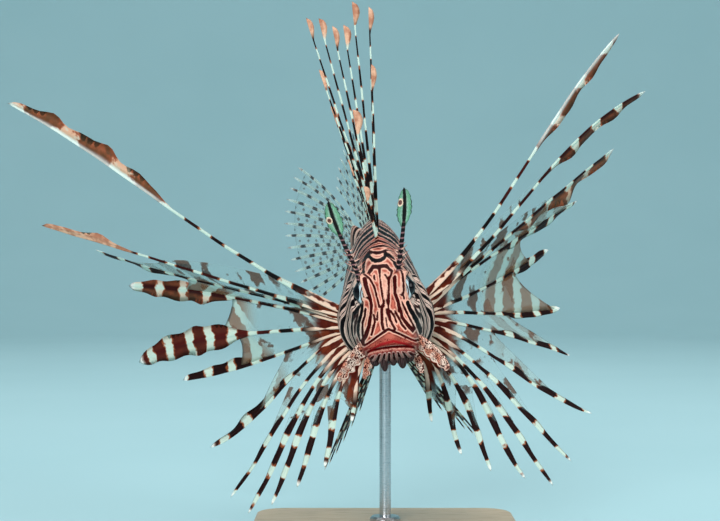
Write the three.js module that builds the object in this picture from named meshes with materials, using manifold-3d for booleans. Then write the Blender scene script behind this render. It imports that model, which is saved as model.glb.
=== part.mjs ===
// A red lionfish, life size, held in the water as it hovers head-on with its fins spread,
// on a plain stand: a flat base and one rod up to the belly. Millimetres, +Z up.
// The fish faces -Y with its tail behind it. +X is its own left side. The origin is the
// middle of the underside of the base.
import * as THREE from 'three';
import { mergeVertices } from 'three/addons/utils/BufferGeometryUtils.js';
import Module from 'manifold-3d';

const wasm = await Module();
wasm.setup();

// Driving dimensions of the fish, measured from the front of the upper lip.
const STANDARD_LENGTH = 224;
const HEAD_END = 64;
const MID_BODY = 112;
const STALK_START = 168;
const NOSE_CAP = 6;
const NOSE_HEIGHT = -3;
const GAP = 0.3;
const ROOT_DEPTH = 4;

// How the body is carried: nose down, rolled towards its own left, tail swung to its right.
const PITCH = 12;
const ROLL = 6;
const SNOUT = new THREE.Vector3(1.1, -74, 112);
const BEND_START = 90;
const BEND_SPAN = 200;
const BEND_ANGLE = 70;
const BEND_POWER = 3;

// The stand.
const BASE_WIDTH = 140;
const BASE_DEPTH = 110;
const BASE_HEIGHT = 12;
const BASE_CORNER = 14;
const BASE_BEVEL = 1.5;
const ROD_RADIUS = 3;
const COLLAR_RADIUS = 8;
const COLLAR_HEIGHT = 4;

// Sections of the body: distance from the snout, heights of the back and the belly, half width,
// height of the widest line, and how square the section is above and below that line.
const SECTIONS = [
  { s: 6, top: 7, bottom: -12.5, half: 12.2, waist: -4, above: 2.6, below: 2.3 },
  { s: 16, top: 16.5, bottom: -16, half: 14.8, waist: -2, above: 3, below: 2.2 },
  { s: 27, top: 25.5, bottom: -18.5, half: 16.8, waist: -1, above: 3, below: 2.1 },
  { s: 38, top: 31.5, bottom: -21.5, half: 19.8, waist: -3, above: 1.8, below: 2 },
  { s: 50, top: 36, bottom: -25.5, half: 22.4, waist: -4, above: 1.45, below: 1.9 },
  { s: 64, top: 39, bottom: -30, half: 23.4, waist: -4, above: 1.25, below: 1.9 },
  { s: 80, top: 40.5, bottom: -33, half: 23.2, waist: -2, above: 1.25, below: 1.85 },
  { s: 100, top: 40, bottom: -33.5, half: 21.3, waist: 1, above: 1.4, below: 1.8 },
  { s: 125, top: 36.5, bottom: -30.5, half: 18, waist: 3, above: 1.6, below: 1.8 },
  { s: 150, top: 30.5, bottom: -23.5, half: 13.8, waist: 3.5, above: 1.8, below: 1.8 },
  { s: 175, top: 22.5, bottom: -14.5, half: 9.3, waist: 4, above: 1.9, below: 1.9 },
  { s: 195, top: 17, bottom: -9, half: 6.3, waist: 4, above: 2, below: 2 },
  { s: 210, top: 15, bottom: -7.5, half: 4.8, waist: 4, above: 2, below: 2 },
  { s: STANDARD_LENGTH, top: 15.5, bottom: -8, half: 3.4, waist: 4, above: 2, below: 2 },
];

// Head features.
const EYE = { s: 27, out: 9, height: 18.5, radius: 7.6, depth: 5.4 };
const EYE_AXIS = new THREE.Vector3(1, -0.3, 0.12).normalize();
const EYE_RIM = { wall: 1.2, thickness: 0.9, forward: 3.2, inward: 4 };
const MOUTH_FRONT = -4;
const MOUTH_CORNER = { s: 14, height: -12 };
const JAW_END = 32;

const FLESH = { colour: 0xb06a5c, roughness: 0.45 };
const FIN = { colour: 0xa89484, roughness: 0.4 };
const EYEBALL = { colour: 0x14100f, roughness: 0.1 };
const WOOD = { colour: 0xc9b18c, roughness: 0.5 };
const STEEL = { colour: 0xb9bcc0, roughness: 0.3, metalness: 1 };

const radians = THREE.MathUtils.degToRad;
const clamp = THREE.MathUtils.clamp;
const smooth = THREE.MathUtils.smoothstep;
const point = (x, y, z) => new THREE.Vector3(x, y, z);

// A value that runs smoothly through the rows of a table of sizes.
function along(rows, key, s) {
  let k = 0;
  while (k < rows.length - 2 && s > rows[k + 1].s) k++;
  const [a, b] = [rows[k], rows[k + 1]];
  const before = rows[Math.max(k - 1, 0)];
  const after = rows[Math.min(k + 2, rows.length - 1)];
  const span = b.s - a.s;
  const t = clamp((s - a.s) / span, 0, 1);
  const slopeA = ((b[key] - before[key]) / (b.s - before.s)) * span;
  const slopeB = ((after[key] - a[key]) / (after.s - a.s)) * span;
  const [t2, t3] = [t * t, t * t * t];
  return (2 * t3 - 3 * t2 + 1) * a[key] + (t3 - 2 * t2 + t) * slopeA
    + (3 * t2 - 2 * t3) * b[key] + (t3 - t2) * slopeB;
}

// The heading of the backbone at a distance from the snout, in radians to the fish's right.
function heading(s) {
  return s <= BEND_START ? 0 : radians(BEND_ANGLE) * ((s - BEND_START) / BEND_SPAN) ** BEND_POWER;
}

// Carries a point of the straight fish to its place on the bent backbone.
function bent(x, s, z) {
  const centre = point(0, Math.min(s, BEND_START), 0);
  const steps = 60;
  const step = Math.max(s - BEND_START, 0) / steps;
  for (let k = 0; k < steps && step > 0; k++) {
    const angle = heading(BEND_START + (k + 0.5) * step);
    centre.x -= Math.sin(angle) * step;
    centre.y += Math.cos(angle) * step;
  }
  const angle = heading(s);
  return point(centre.x + x * Math.cos(angle), centre.y + x * Math.sin(angle), z);
}

// Raises the lips and sinks the line of the mouth: millimetres outwards from the plain section.
function relief(s, z) {
  const mouth = MOUTH_FRONT + (MOUTH_CORNER.height - MOUTH_FRONT) * Math.min(s / MOUTH_CORNER.s, 1);
  const off = z - mouth;
  const nearLips = 1 - smooth(s, MOUTH_CORNER.s - 4, MOUTH_CORNER.s + 3);
  const lips = 1.1 * Math.exp(-(((off - 2.6) / 1.7) ** 2)) + 1.1 * Math.exp(-(((off + 2.6) / 1.7) ** 2));
  return nearLips * (lips - 0.8 * Math.exp(-((off / 1) ** 2)));
}

// A point on the skin of the straight fish: distance from the snout and turn from the back.
function section(s, turn, grow) {
  const at = Math.max(s, NOSE_CAP);
  const size = (key) => along(SECTIONS, key, at);
  const cap = s >= NOSE_CAP ? 1 : Math.sqrt(1 - (1 - s / NOSE_CAP) ** 2);
  const c = Math.cos(turn);
  const waist = NOSE_HEIGHT + (size('waist') - NOSE_HEIGHT) * cap;
  const edge = NOSE_HEIGHT + (size(c >= 0 ? 'top' : 'bottom') - NOSE_HEIGHT) * cap;
  const power = 2 / size(c >= 0 ? 'above' : 'below');
  const x = size('half') * cap * Math.sign(Math.sin(turn)) * Math.abs(Math.sin(turn)) ** power;
  const z = waist + (edge - waist) * Math.abs(c) ** power;
  const out = point(x, 0, z - waist);
  const push = grow + relief(s, z);
  const reach = Math.max(out.length(), 0.01);
  return point(x + (out.x / reach) * push, s, z + (out.z / reach) * push);
}

// Joins a row of rings, each with as many points, into one closed surface.
function closedLoft(rings) {
  const n = rings[0].length;
  const corners = rings.flat();
  const ends = [rings[0], rings[rings.length - 1]].map((ring) =>
    ring.reduce((sum, p) => sum.add(p), point(0, 0, 0)).divideScalar(n));
  const faces = [];
  for (let k = 0; k < rings.length - 1; k++) {
    for (let i = 0; i < n; i++) {
      const [a, b] = [k * n + i, k * n + ((i + 1) % n)];
      faces.push(a, b, a + n, b, b + n, a + n);
    }
  }
  const [first, last] = [corners.length, corners.length + 1];
  const top = (rings.length - 1) * n;
  for (let i = 0; i < n; i++) {
    const next = (i + 1) % n;
    faces.push(first, next, i, last, top + i, top + next);
  }
  return surface([...corners, ...ends], faces);
}

// An indexed geometry from points and triples of point numbers.
function surface(corners, faces) {
  const geometry = new THREE.BufferGeometry().setFromPoints(corners);
  geometry.setIndex(faces);
  return geometry;
}

// A closed geometry as a solid, turned the right way out.
function solidOf(geometry) {
  const bare = geometry.clone();
  bare.deleteAttribute('normal');
  bare.deleteAttribute('uv');
  const merged = mergeVertices(bare, 1e-4);
  const make = (triVerts) => new wasm.Manifold(new wasm.Mesh({
    numProp: 3, vertProperties: new Float32Array(merged.attributes.position.array), triVerts,
  }));
  const order = new Uint32Array(merged.index.array);
  const made = make(order);
  if (made.volume() > 0) return made;
  for (let i = 0; i < order.length; i += 3) [order[i], order[i + 1]] = [order[i + 1], order[i]];
  return make(order);
}

// The largest closed piece of a solid, without scraps that a cut leaves.
function largest(solid) {
  return solid.decompose().reduce((best, one) => (one.volume() > best.volume() ? one : best));
}

// A named mesh of one solid.
function meshOf(name, solid, look) {
  const { numProp, vertProperties, triVerts } = largest(solid).getMesh();
  const places = new Float32Array((vertProperties.length / numProp) * 3);
  for (let i = 0; i < places.length / 3; i++) {
    for (let k = 0; k < 3; k++) places[i * 3 + k] = vertProperties[i * numProp + k];
  }
  const geometry = new THREE.BufferGeometry();
  geometry.setAttribute('position', new THREE.BufferAttribute(places, 3));
  geometry.setIndex(new THREE.BufferAttribute(triVerts, 1));
  geometry.computeVertexNormals();
  const mesh = new THREE.Mesh(geometry, new THREE.MeshStandardMaterial({
    color: look.colour, roughness: look.roughness, metalness: look.metalness ?? 0,
  }));
  mesh.name = name;
  return mesh;
}

// A length of the body between two distances from the snout, larger all round by grow.
function bodyLength(from, to, rings, around, grow = 0) {
  const made = [];
  for (let k = 0; k <= rings; k++) {
    const t = k / rings;
    const s = from + (to - from) * (from === 0 ? t ** 1.6 : t);
    const ring = [];
    for (let i = 0; i < around; i++) {
      const p = section(Math.max(s, 0.02), (i / around) * 2 * Math.PI, grow);
      ring.push(bent(p.x, p.y - (from === 0 ? grow * (1 - t) : 0), p.z));
    }
    made.push(ring);
  }
  return solidOf(closedLoft(made));
}

// A straight bar across the fish with an outline given in side view: pairs of s and z.
function crossBar(outline, halfWidth) {
  const shape = new THREE.Shape(outline.map(([s, z]) => new THREE.Vector2(s, z)));
  const bar = new THREE.ExtrudeGeometry(shape, { depth: 2 * halfWidth, bevelEnabled: false });
  bar.applyMatrix4(new THREE.Matrix4().set(0, 0, 1, -halfWidth, 1, 0, 0, 0, 0, 1, 0, 0, 0, 0, 0, 1));
  return bar;
}

// The wedge in front of and below the line of the mouth, moved up and back by grow.
function jawWedge(grow) {
  const slope = (MOUTH_CORNER.height - MOUTH_FRONT) / MOUTH_CORNER.s;
  return solidOf(crossBar([
    [-8, MOUTH_FRONT - 8 * slope + grow], [MOUTH_CORNER.s, MOUTH_CORNER.height + grow],
    [JAW_END + grow, -17 + grow], [JAW_END + 4 + grow, -40], [-8, -40],
  ], 30));
}

// The gill cover's outline on the cheek, as a bar across the fish on one side only.
function gillBar(side, grow) {
  const centre = { s: 57, z: -3, lean: 0.2 };
  const [halfLength, halfHeight, corners] = [14 + grow, 20 + grow, 20];
  const outline = [];
  for (let i = 0; i < corners; i++) {
    const a = (i / corners) * 2 * Math.PI;
    const flap = 1 + 0.14 * Math.exp(-(((a - 0.25) / 0.4) ** 2));
    const z = halfHeight * Math.sin(a);
    outline.push([centre.s + halfLength * flap * Math.cos(a) + centre.lean * z, centre.z + z]);
  }
  const bar = crossBar(outline, 20);
  bar.translate(side * 24, 0, 0);
  return solidOf(bar);
}

// A ball, stretched if three radii are given.
function ball(centre, radius, columns = 16, rows = 10) {
  const geometry = new THREE.SphereGeometry(1, columns, rows);
  const size = typeof radius === 'number' ? point(radius, radius, radius) : radius;
  geometry.scale(size.x, size.y, size.z);
  geometry.translate(centre.x, centre.y, centre.z);
  return solidOf(geometry);
}

// The eyeball on one side, flatter than round, larger all round by grow.
function eyeball(side, grow, columns = 16, rows = 12) {
  const geometry = new THREE.SphereGeometry(1, columns, rows);
  geometry.rotateX(Math.PI / 2);
  geometry.scale(EYE.radius + grow, EYE.radius + grow, EYE.depth + grow);
  return solidOf(placedOnEye(geometry, side, 0));
}

// Puts a shape made round the Z axis on the axis of one eye, moved out along it by forward.
function placedOnEye(geometry, side, forward) {
  const axis = point(side * EYE_AXIS.x, EYE_AXIS.y, EYE_AXIS.z);
  geometry.applyQuaternion(new THREE.Quaternion().setFromUnitVectors(point(0, 0, 1), axis));
  const centre = point(side * EYE.out, EYE.s, EYE.height).addScaledVector(axis, forward);
  geometry.translate(centre.x, centre.y, centre.z);
  return geometry;
}

// The fleshy mound round the eye on one side, with a rounded rim.
function eyeRim(side, grow) {
  const axis = point(side * EYE_AXIS.x, EYE_AXIS.y, EYE_AXIS.z);
  const share = EYE_RIM.forward / (EYE.depth + GAP + EYE_RIM.wall / 2);
  const rimRadius = (EYE.radius + GAP + EYE_RIM.wall / 2) * Math.sqrt(1 - share ** 2);
  const rim = new THREE.TorusGeometry(rimRadius, EYE_RIM.thickness + grow, 5, 16);
  const middle = axis.dot(point(side * EYE.out, EYE.s, EYE.height));
  const mound = eyeball(side, GAP + EYE_RIM.wall + grow, 16, 10)
    .trimByPlane(axis.toArray(), middle - EYE_RIM.inward)
    .trimByPlane(axis.clone().negate().toArray(), -middle - EYE_RIM.forward);
  return solidOf(placedOnEye(rim, side, EYE_RIM.forward)).add(mound);
}

// A round stem that tapers from root to tip along a curve.
function stem(path, rootRadius, tipRadius, sides = 8, steps = 6) {
  const rings = [];
  for (let k = 0; k <= steps; k++) {
    const t = k / steps;
    const forward = path(Math.min(t + 0.01, 1)).sub(path(Math.min(t, 0.99))).normalize();
    const turn = new THREE.Quaternion().setFromUnitVectors(point(0, 0, 1), forward);
    const radius = rootRadius + (tipRadius - rootRadius) * t;
    rings.push(Array.from({ length: sides }, (_, i) => {
      const a = (i / sides) * 2 * Math.PI;
      return point(radius * Math.cos(a), radius * Math.sin(a), 0).applyQuaternion(turn).add(path(t));
    }));
  }
  return solidOf(closedLoft(rings));
}

// A fin in one closed body: rays that stand up as ridges on both faces of a thin web, which
// joins each ray to the next as far as webTo says and goes on as a vane along each free ray.
// ray.path(t) runs from root to tip, ray.vane(t) gives the vane's two widths, thick gives the
// half thickness of ridge and web at t, and trail is the share of a ray's length over which
// the edge of the web above it runs out along it.
function webbedFin(rays, webTo, rows, thick, trail = 0.01) {
  const line = rays.map((ray) => Array.from({ length: rows + 1 }, (_, j) => ray.path(j / rows)));
  const corners = [];
  const faces = [];
  const pair = (p, normal, half) => {
    corners.push(p.clone().addScaledVector(normal, half), p.clone().addScaledVector(normal, -half));
    return corners.length - 2;
  };
  const frames = rays.map((_, i) => line[i].map((p, j) => {
    const tangent = line[i][Math.min(j + 1, rows)].clone().sub(line[i][Math.max(j - 1, 0)]).normalize();
    const side = line[Math.min(i + 1, rays.length - 1)][j].clone().sub(line[Math.max(i - 1, 0)][j]);
    side.addScaledVector(tangent, -side.dot(tangent)).normalize();
    return { side, normal: tangent.clone().cross(side).normalize() };
  }));
  const webRow = rays.slice(1).map((_, i) => Math.round(webTo(i) * rows));
  const ridge = [];
  const low = [];
  const high = [];
  for (let i = 0; i < rays.length; i++) {
    ridge.push([]);
    low.push([]);
    high.push([]);
    for (let j = 0; j <= rows; j++) {
      const t = j / rows;
      const { side, normal } = frames[i][j];
      const [ridgeHalf, webHalf] = thick(t, rays[i]);
      const [lowWidth, highWidth] = rays[i].vane(t);
      ridge[i].push(pair(line[i][j], normal, ridgeHalf));
      if (i > 0 && j <= webRow[i - 1]) {
        low[i].push(high[i - 1][j]);
      } else {
        const end = i > 0 ? webRow[i - 1] : 0;
        const gap = i > 0 ? line[i][end].distanceTo(line[i - 1][end]) / 2 : 0;
        const width = Math.max(lowWidth, gap * (1 - clamp((t - end / rows) / trail, 0, 1)));
        low[i].push(pair(line[i][j].clone().addScaledVector(side, -width), normal, webHalf));
      }
      if (i < rays.length - 1 && j <= webRow[i]) {
        const middle = line[i][j].clone().add(line[i + 1][j]).multiplyScalar(0.5);
        const between = normal.clone().add(frames[i + 1][j].normal).normalize();
        high[i].push(pair(middle, between, webHalf));
      } else {
        high[i].push(pair(line[i][j].clone().addScaledVector(side, highWidth), normal, webHalf));
      }
    }
  }
  const wall = (a, b) => faces.push(a, b, a + 1, b, b + 1, a + 1);
  for (let i = 0; i < rays.length; i++) {
    for (let j = 0; j < rows; j++) {
      for (const [a, b] of [[low[i], ridge[i]], [ridge[i], high[i]]]) {
        faces.push(a[j], a[j + 1], b[j + 1], a[j], b[j + 1], b[j]);
        faces.push(a[j] + 1, b[j + 1] + 1, a[j + 1] + 1, a[j] + 1, b[j] + 1, b[j + 1] + 1);
      }
      if (i === 0 || j >= webRow[i - 1]) wall(low[i][j + 1], low[i][j]);
      if (i === rays.length - 1 || j >= webRow[i]) wall(high[i][j], high[i][j + 1]);
    }
    wall(low[i][0], ridge[i][0]);
    wall(ridge[i][0], high[i][0]);
    wall(ridge[i][rows], low[i][rows]);
    wall(high[i][rows], ridge[i][rows]);
  }
  return solidOf(surface(corners, faces));
}

// A path from root to tip that bows to one side. Each height is the bow's largest, the late
// one's two thirds of the way to the tip and the early one's a third of the way.
function bowed(root, tip, sideways, late, early = 0) {
  return (t) => {
    const bow = 6.75 * t * (1 - t) * (late * t + early * (1 - t));
    return root.clone().lerp(tip, t).addScaledVector(sideways, bow);
  };
}

// A vane that widens from none at its start to its full width and narrows to the tip.
function flag(width, start, peak, t) {
  if (t <= start) return 0;
  return t < peak ? width * smooth(t, start, peak) : width * Math.sqrt(1 - ((t - peak) / (1 - peak)) ** 2);
}

// Pectoral fins: for each ray from the top down, its lift above level, its sweep back, its
// length, its bow near the root and near the tip, the widths of its vane above and below, where
// along the ray the vane starts, and how far the web reaches to the next ray, the last two as
// shares of the ray's length.
const PECTORAL_RIGHT = [
  [35.5, 15, 214, -5, 2.2, 9, 0, 0.46, 0.2],
  [17, 24, 188, -1, 0.4, 4.5, 0.3, 0.66, 0.6],
  [13.4, 32, 169, 0.7, -2.2, 0.5, 3.5, 0.5, 0.65],
  [5.9, 35, 151, 1, 2.8, 4, 6, 0.45, 0.6],
  [-11.6, 27, 138, 1, 6, 7, 7, 0.4, 0.56],
  [-19, 28, 116, -0.6, -2, 4.5, 0.5, 0.45, 0.38],
  [-35.3, 7, 102, 5, -4.4, 5, 0.5, 0.3, 0.4],
  [-45.6, -10, 106, 6, -0.7, 1.8, 0.4, 0.3, 0.42],
  [-50.3, -16, 106, 6.5, -0.6, 1.7, 0.4, 0.3, 0.42],
  [-53.7, -18, 95, 6.3, 0.2, 1.7, 0.4, 0.3, 0.42],
  [-57.5, -19, 80, 5.4, 0.2, 1.8, 0.4, 0.3, 0.42],
  [-63.7, -20, 64, 5.4, -0.3, 2, 0.4, 0.3, 0.45],
  [-70, -21, 36, 2, 0, 1, 1, 0.3, 0],
];
const PECTORAL_LEFT = [
  [44.5, 20, 180, -5, 3, 0, 4.2, 0.5, 0.22],
  [33, 23, 174, -4, 8, 0, 5, 0.5, 0.3],
  [26, 32, 154, -1, 0.5, 0.6, 11, 0.4, 0.65],
  [17.3, 42, 136, 2, 0, 3, 4, 0.4, 0.62],
  [3.3, 50, 123, -3, -1, 3, 3, 0.5, 0.76],
  [-17.3, 44, 120, 1.2, -3, 4, 2, 0.5, 0.6],
  [-27.7, 29, 107, 2, 1.3, 3.5, 0.5, 0.4, 0.45],
  [-35.3, 4, 107, 4.5, -3, 3, 0.5, 0.35, 0.4],
  [-46.6, -10, 106, 5.4, 0, 2.2, 0.4, 0.3, 0.4],
  [-53.2, -17, 106, 6.4, 0.6, 1.7, 0.4, 0.3, 0.42],
  [-57, -20, 93, 9, -1, 1.7, 0.4, 0.3, 0.42],
  [-64.5, -22, 79, 6.2, 1.3, 1.7, 0.4, 0.3, 0.42],
  [-71.4, -22, 63, 6.2, -0.8, 1.7, 0.4, 0.3, 0.42],
  [-80.2, -21, 40, 4, 0, 1, 0.8, 0.3, 0],
];
const PECTORAL_ROOT = { right: { top: 0, drop: 27 }, left: { top: 4, drop: 30 } };
const PECTORAL_ROWS = 11;

// One pectoral fin, its fleshy base sunk into the flank.
function pectoralFin(side, table, { top, drop }) {
  const rays = table.map(([lift, sweep, length, early, late, above, below, start], i) => {
    const u = i / (table.length - 1);
    const root = point(side * (22 - 10 * u ** 1.5), 70 + 6 * u, top - drop * u);
    const [a, b] = [radians(lift), radians(sweep)];
    const way = point(side * Math.cos(a) * Math.cos(b), Math.sin(b), Math.sin(a) * Math.cos(b));
    const up = point(-side * Math.sin(a), 0, Math.cos(a));
    const shaft = (t) => 0.9 * (1 - t) + 0.3;
    const vane = (width, t) => shaft(t) + flag(width, start, start + 0.4 * (1 - start), t);
    return {
      path: bowed(root, root.clone().addScaledVector(way, length), up, late, early),
      vane: (t) => [vane(above, t), vane(below, t)],
    };
  });
  const thick = (t) => [0.35 + 1.0 * (1 - t) + 2.2 * (1 - smooth(t, 0.05, 0.3)),
    0.27 + 2.2 * (1 - smooth(t, 0, 0.25))];
  return webbedFin(rays, (i) => table[i][8], PECTORAL_ROWS, thick, 0.4);
}

// The spiny part of the dorsal fin: for each spine its distance from the snout, its length,
// its lean to the fish's left, its lean back, and the width of its flag.
const DORSAL_SPINES = [
  [60, 31, -8, 4, 4], [68, 68, -5, 8, 6], [76, 89, 4, 12, 4], [84, 119, 4, 14, 4],
  [92, 123, 0, 16, 5], [100, 112, -3, 18, 5], [108, 114, -6, 20, 4], [116, 122, -9, 22, 5],
  [124, 126, -12, 23, 4], [132, 98, -13, 27, 4], [140, 78, -13, 31, 4], [148, 58, -12, 36, 4],
  [156, 50, -12, 42, 3],
];
const SPINE_ROWS = 8;
const SPINE_WEB = 0.14;

function spinyDorsal() {
  const rays = DORSAL_SPINES.map(([s, length, leanLeft, leanBack, width]) => {
    const root = bent(0, s, along(SECTIONS, 'top', s) - ROOT_DEPTH);
    const turn = -heading(s);
    const [a, b] = [radians(leanLeft), radians(leanBack)];
    const way = point(Math.sin(a), Math.sin(b) * Math.cos(a), Math.cos(a) * Math.cos(b));
    const back = point(Math.sin(turn), Math.cos(turn), 0);
    return {
      path: bowed(root, root.clone().addScaledVector(way, length), back, -0.02 * length),
      vane: (t) => [0.8 * (1 - t) + 0.25, 1.3 * (1 - t) + 0.6 + flag(width - 0.6, 0.55, 0.86, t)],
    };
  });
  return webbedFin(rays, () => SPINE_WEB, SPINE_ROWS, (t) => [0.3 + 0.9 * (1 - t), 0.27]);
}

// A rounded fin of soft rays on the tail, standing in the fish's middle plane.
function tailFin({ from, to, count, inset, edge, lengths, leans, webTo, rows }) {
  const rays = Array.from({ length: count }, (_, i) => {
    const u = i / (count - 1);
    const s = from + (to - from) * u;
    const z = edge(s, u) + inset;
    const length = lengths(u);
    const lean = radians(leans(u));
    const path = (t) => bent(0, s + length * t * Math.cos(lean), z + length * t * Math.sin(lean));
    const width = (length * 0.9) / count;
    return { path, vane: (t) => [flag(width * 0.5, 0, 0.5, t) + 0.3, flag(width * 0.5, 0, 0.5, t) + 0.3] };
  });
  return webbedFin(rays, () => webTo, rows, (t) => [0.3 + 0.5 * (1 - t), 0.27]);
}

function softDorsal() {
  return tailFin({
    from: 164, to: 199, count: 11, inset: -ROOT_DEPTH, rows: 6, webTo: 0.84,
    edge: (s) => along(SECTIONS, 'top', s),
    lengths: (u) => 50 + 22 * Math.sin(Math.PI * (0.25 + 0.55 * u)) - 12 * u,
    leans: (u) => 74 - 44 * u,
  });
}

function analFin() {
  return tailFin({
    from: 152, to: 192, count: 9, inset: ROOT_DEPTH, rows: 6, webTo: 0.84,
    edge: (s) => along(SECTIONS, 'bottom', s),
    lengths: (u) => 26 + 42 * Math.sin(Math.PI * Math.min(0.12 + 0.6 * u, 0.62)) - 8 * u,
    leans: (u) => -70 + 34 * u,
  });
}

function caudalFin() {
  return tailFin({
    from: 219, to: 219, count: 13, inset: 0, rows: 5, webTo: 0.8,
    edge: (s, u) => 12.5 - 17 * u,
    lengths: (u) => 68 + 5 * Math.sin(Math.PI * u),
    leans: (u) => 32 - 64 * u,
  });
}

// Pelvic fins: the outermost ray's way and the innermost's, and their lengths.
const PELVIC_RAYS = 6;
const PELVIC = {
  right: { outer: [-34, 22, -70], inner: [-14, 52, -50] },
  left: { outer: [38, 26, -62], inner: [16, 52, -48] },
};

function pelvicFin(side, { outer, inner }) {
  const rays = Array.from({ length: PELVIC_RAYS }, (_, i) => {
    const u = i / (PELVIC_RAYS - 1);
    const root = point(side * (8 - 2.5 * u), 80 + 7 * u, -27.5);
    const way = point(...outer).lerp(point(...inner), u).multiplyScalar(1 + 0.1 * Math.sin(Math.PI * u));
    const tip = root.clone().add(way);
    return {
      path: bowed(root, tip, point(0, 1, 0), 2),
      vane: (t) => [0.5 + flag(1.4, 0.2, 0.7, t), 0.5 + flag(1.4, 0.2, 0.7, t)],
    };
  });
  return webbedFin(rays, () => 0.8, 7, (t) => [0.3 + 0.8 * (1 - t), 0.27]);
}

// The feeler above an eye: a round stem with a leaf on its outer half.
function eyeTentacle(side) {
  const root = side < 0 ? point(-10.8, 27, 24) : point(7.4, 27, 24);
  const tip = side < 0 ? point(-22.6, 33, 63.6) : point(14.8, 33, 66.4);
  const path = bowed(root, tip, point(side, 0, 0), 1);
  const leaf = { start: 0.5, peak: 0.74, width: 3.7 };
  const across = point(1, 0, 0.2).normalize();
  const rings = [];
  for (let k = 0; k <= 8; k++) {
    const t = leaf.start + (1.02 - leaf.start) * (k / 8);
    const half = 0.6 + flag(leaf.width, leaf.start - 0.02, leaf.peak, Math.min(t, 0.995));
    const middle = path(t);
    rings.push([[half, 0.3], [-half, 0.3], [-half, -0.3], [half, -0.3]].map(([x, y]) =>
      middle.clone().addScaledVector(across, x).add(point(0, y, 0))));
  }
  return stem(path, 1.7, 0.7).add(solidOf(closedLoft(rings)));
}

// A fleshy flap with a fringe of short lobes along its lower edge.
function fringedFlap(root, way, down, length, width, lobes) {
  const half = 0.6;
  const steps = 2 * lobes + 2;
  const face = way.clone().cross(down).normalize();
  const rings = [];
  for (let k = 0; k <= steps; k++) {
    const t = k / steps;
    const spread = width * Math.sqrt(Math.max(Math.sin(Math.PI * (0.12 + 0.84 * t)), 0.02));
    const lobe = k % 2 ? 1 : 0.72;
    const middle = root.clone().addScaledVector(way, length * t).addScaledVector(face, 1.5 * Math.sin(3 * t));
    rings.push([[-0.5, 1], [0.5 * lobe, 1], [0.5 * lobe, -1], [-0.5, -1]].map(([across, sign]) =>
      middle.clone().addScaledVector(down, across * spread).addScaledVector(face, sign * half)));
  }
  return solidOf(closedLoft(rings));
}

function mouthFlap(side) {
  const way = point(side * 11.5, -5, -12).normalize();
  const down = point(-side * 0.6, 0.2, -0.75).normalize();
  return fringedFlap(point(side * 11, 14, -3), way, down, 24, 8, 5);
}

function jawFlap(side) {
  const way = point(side * 3, -2, -9).normalize();
  const down = point(-side, 0.2, -0.3).normalize();
  return fringedFlap(point(side * 10.5, 13, -10), way, down, 12, 4.5, 3);
}

// Fleshy lobes that hang from the chin.
const CHIN_LOBES = [
  { x: -3.6, s: 3.5, z: -12, size: point(1.9, 2, 4.2) },
  { x: 4.6, s: 3.5, z: -12, size: point(2.1, 2, 4) },
  { x: 0.5, s: 4.5, z: -11.5, size: point(2, 1.8, 2.6) },
  { x: -7.8, s: 6, z: -11.5, size: point(2.2, 2, 2.8) },
  { x: 8.6, s: 6, z: -11.5, size: point(2.2, 2, 2.6) },
];

// Spines along the edge of the cheek: distance from the snout, height, and length.
const CHEEK_SPINES = [[33, 2, 5], [33, -6, 5.5], [34, -13, 5]];

function cheekSpine(side, s, z, length, grow) {
  const out = along(SECTIONS, 'half', s) * 0.9;
  const root = point(side * (out - 2), s, z);
  const tip = root.clone().add(point(side * 3.4, length + grow, -1));
  return stem((t) => root.clone().lerp(tip, t), 1.3 + grow, 0.2 + grow, 6, 2);
}

// The lengths the body is divided into, with the fineness of each.
const LENGTHS = {
  head: [0, HEAD_END, 20, 32], trunk_front: [HEAD_END, MID_BODY, 9, 28],
  trunk_rear: [MID_BODY, STALK_START, 9, 24], tail_stalk: [STALK_START, STANDARD_LENGTH, 7, 20],
};

function bodyPiece(name) {
  const [from, to, rings, around] = LENGTHS[name];
  return bodyLength(from && from + GAP / 2, to - GAP / 2, rings, around);
}

// Everything on the head and body that a fin or flap has to stand clear of by the gap.
function keepOut() {
  const clearance = GAP + 0.05;
  let whole = Object.values(LENGTHS).map(([from, to, rings, around]) =>
    bodyLength(from && from - GAP, to + GAP, rings, around, clearance)).reduce((a, b) => a.add(b));
  for (const side of [-1, 1]) {
    whole = whole.add(eyeRim(side, clearance)).add(eyeball(side, clearance));
    for (const [s, z, length] of CHEEK_SPINES) whole = whole.add(cheekSpine(side, s, z, length, clearance));
  }
  return whole;
}

function head() {
  let made = bodyPiece('head');
  for (const side of [-1, 1]) {
    made = made.add(eyeRim(side, 0));
    for (const [s, z, length] of CHEEK_SPINES) made = made.add(cheekSpine(side, s, z, length, 0));
    made = made.subtract(eyeball(side, GAP));
    made = made.subtract(ball(point(side * 5.5, 11, 13.4), 1.2, 8, 6));
  }
  return made.subtract(jawWedge(GAP));
}

function lowerJaw() {
  let made = bodyPiece('head').intersect(jawWedge(0));
  for (const lobe of CHIN_LOBES) made = made.add(ball(point(lobe.x, lobe.s, lobe.z), lobe.size, 8, 6));
  return made;
}

function gillCover(side, grow) {
  const outer = bodyLength(30, 80, 12, 32, 1.7 + grow);
  return outer.intersect(gillBar(side, grow));
}

function roundedRectangle(width, depth, corner) {
  const [x, y] = [width / 2 - corner, depth / 2 - corner];
  const shape = new THREE.Shape();
  [[x, y, 0], [-x, y, 90], [-x, -y, 180], [x, -y, 270]].forEach(([cx, cy, start]) =>
    shape.absarc(cx, cy, corner, radians(start), radians(start + 90)));
  return shape;
}

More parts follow.
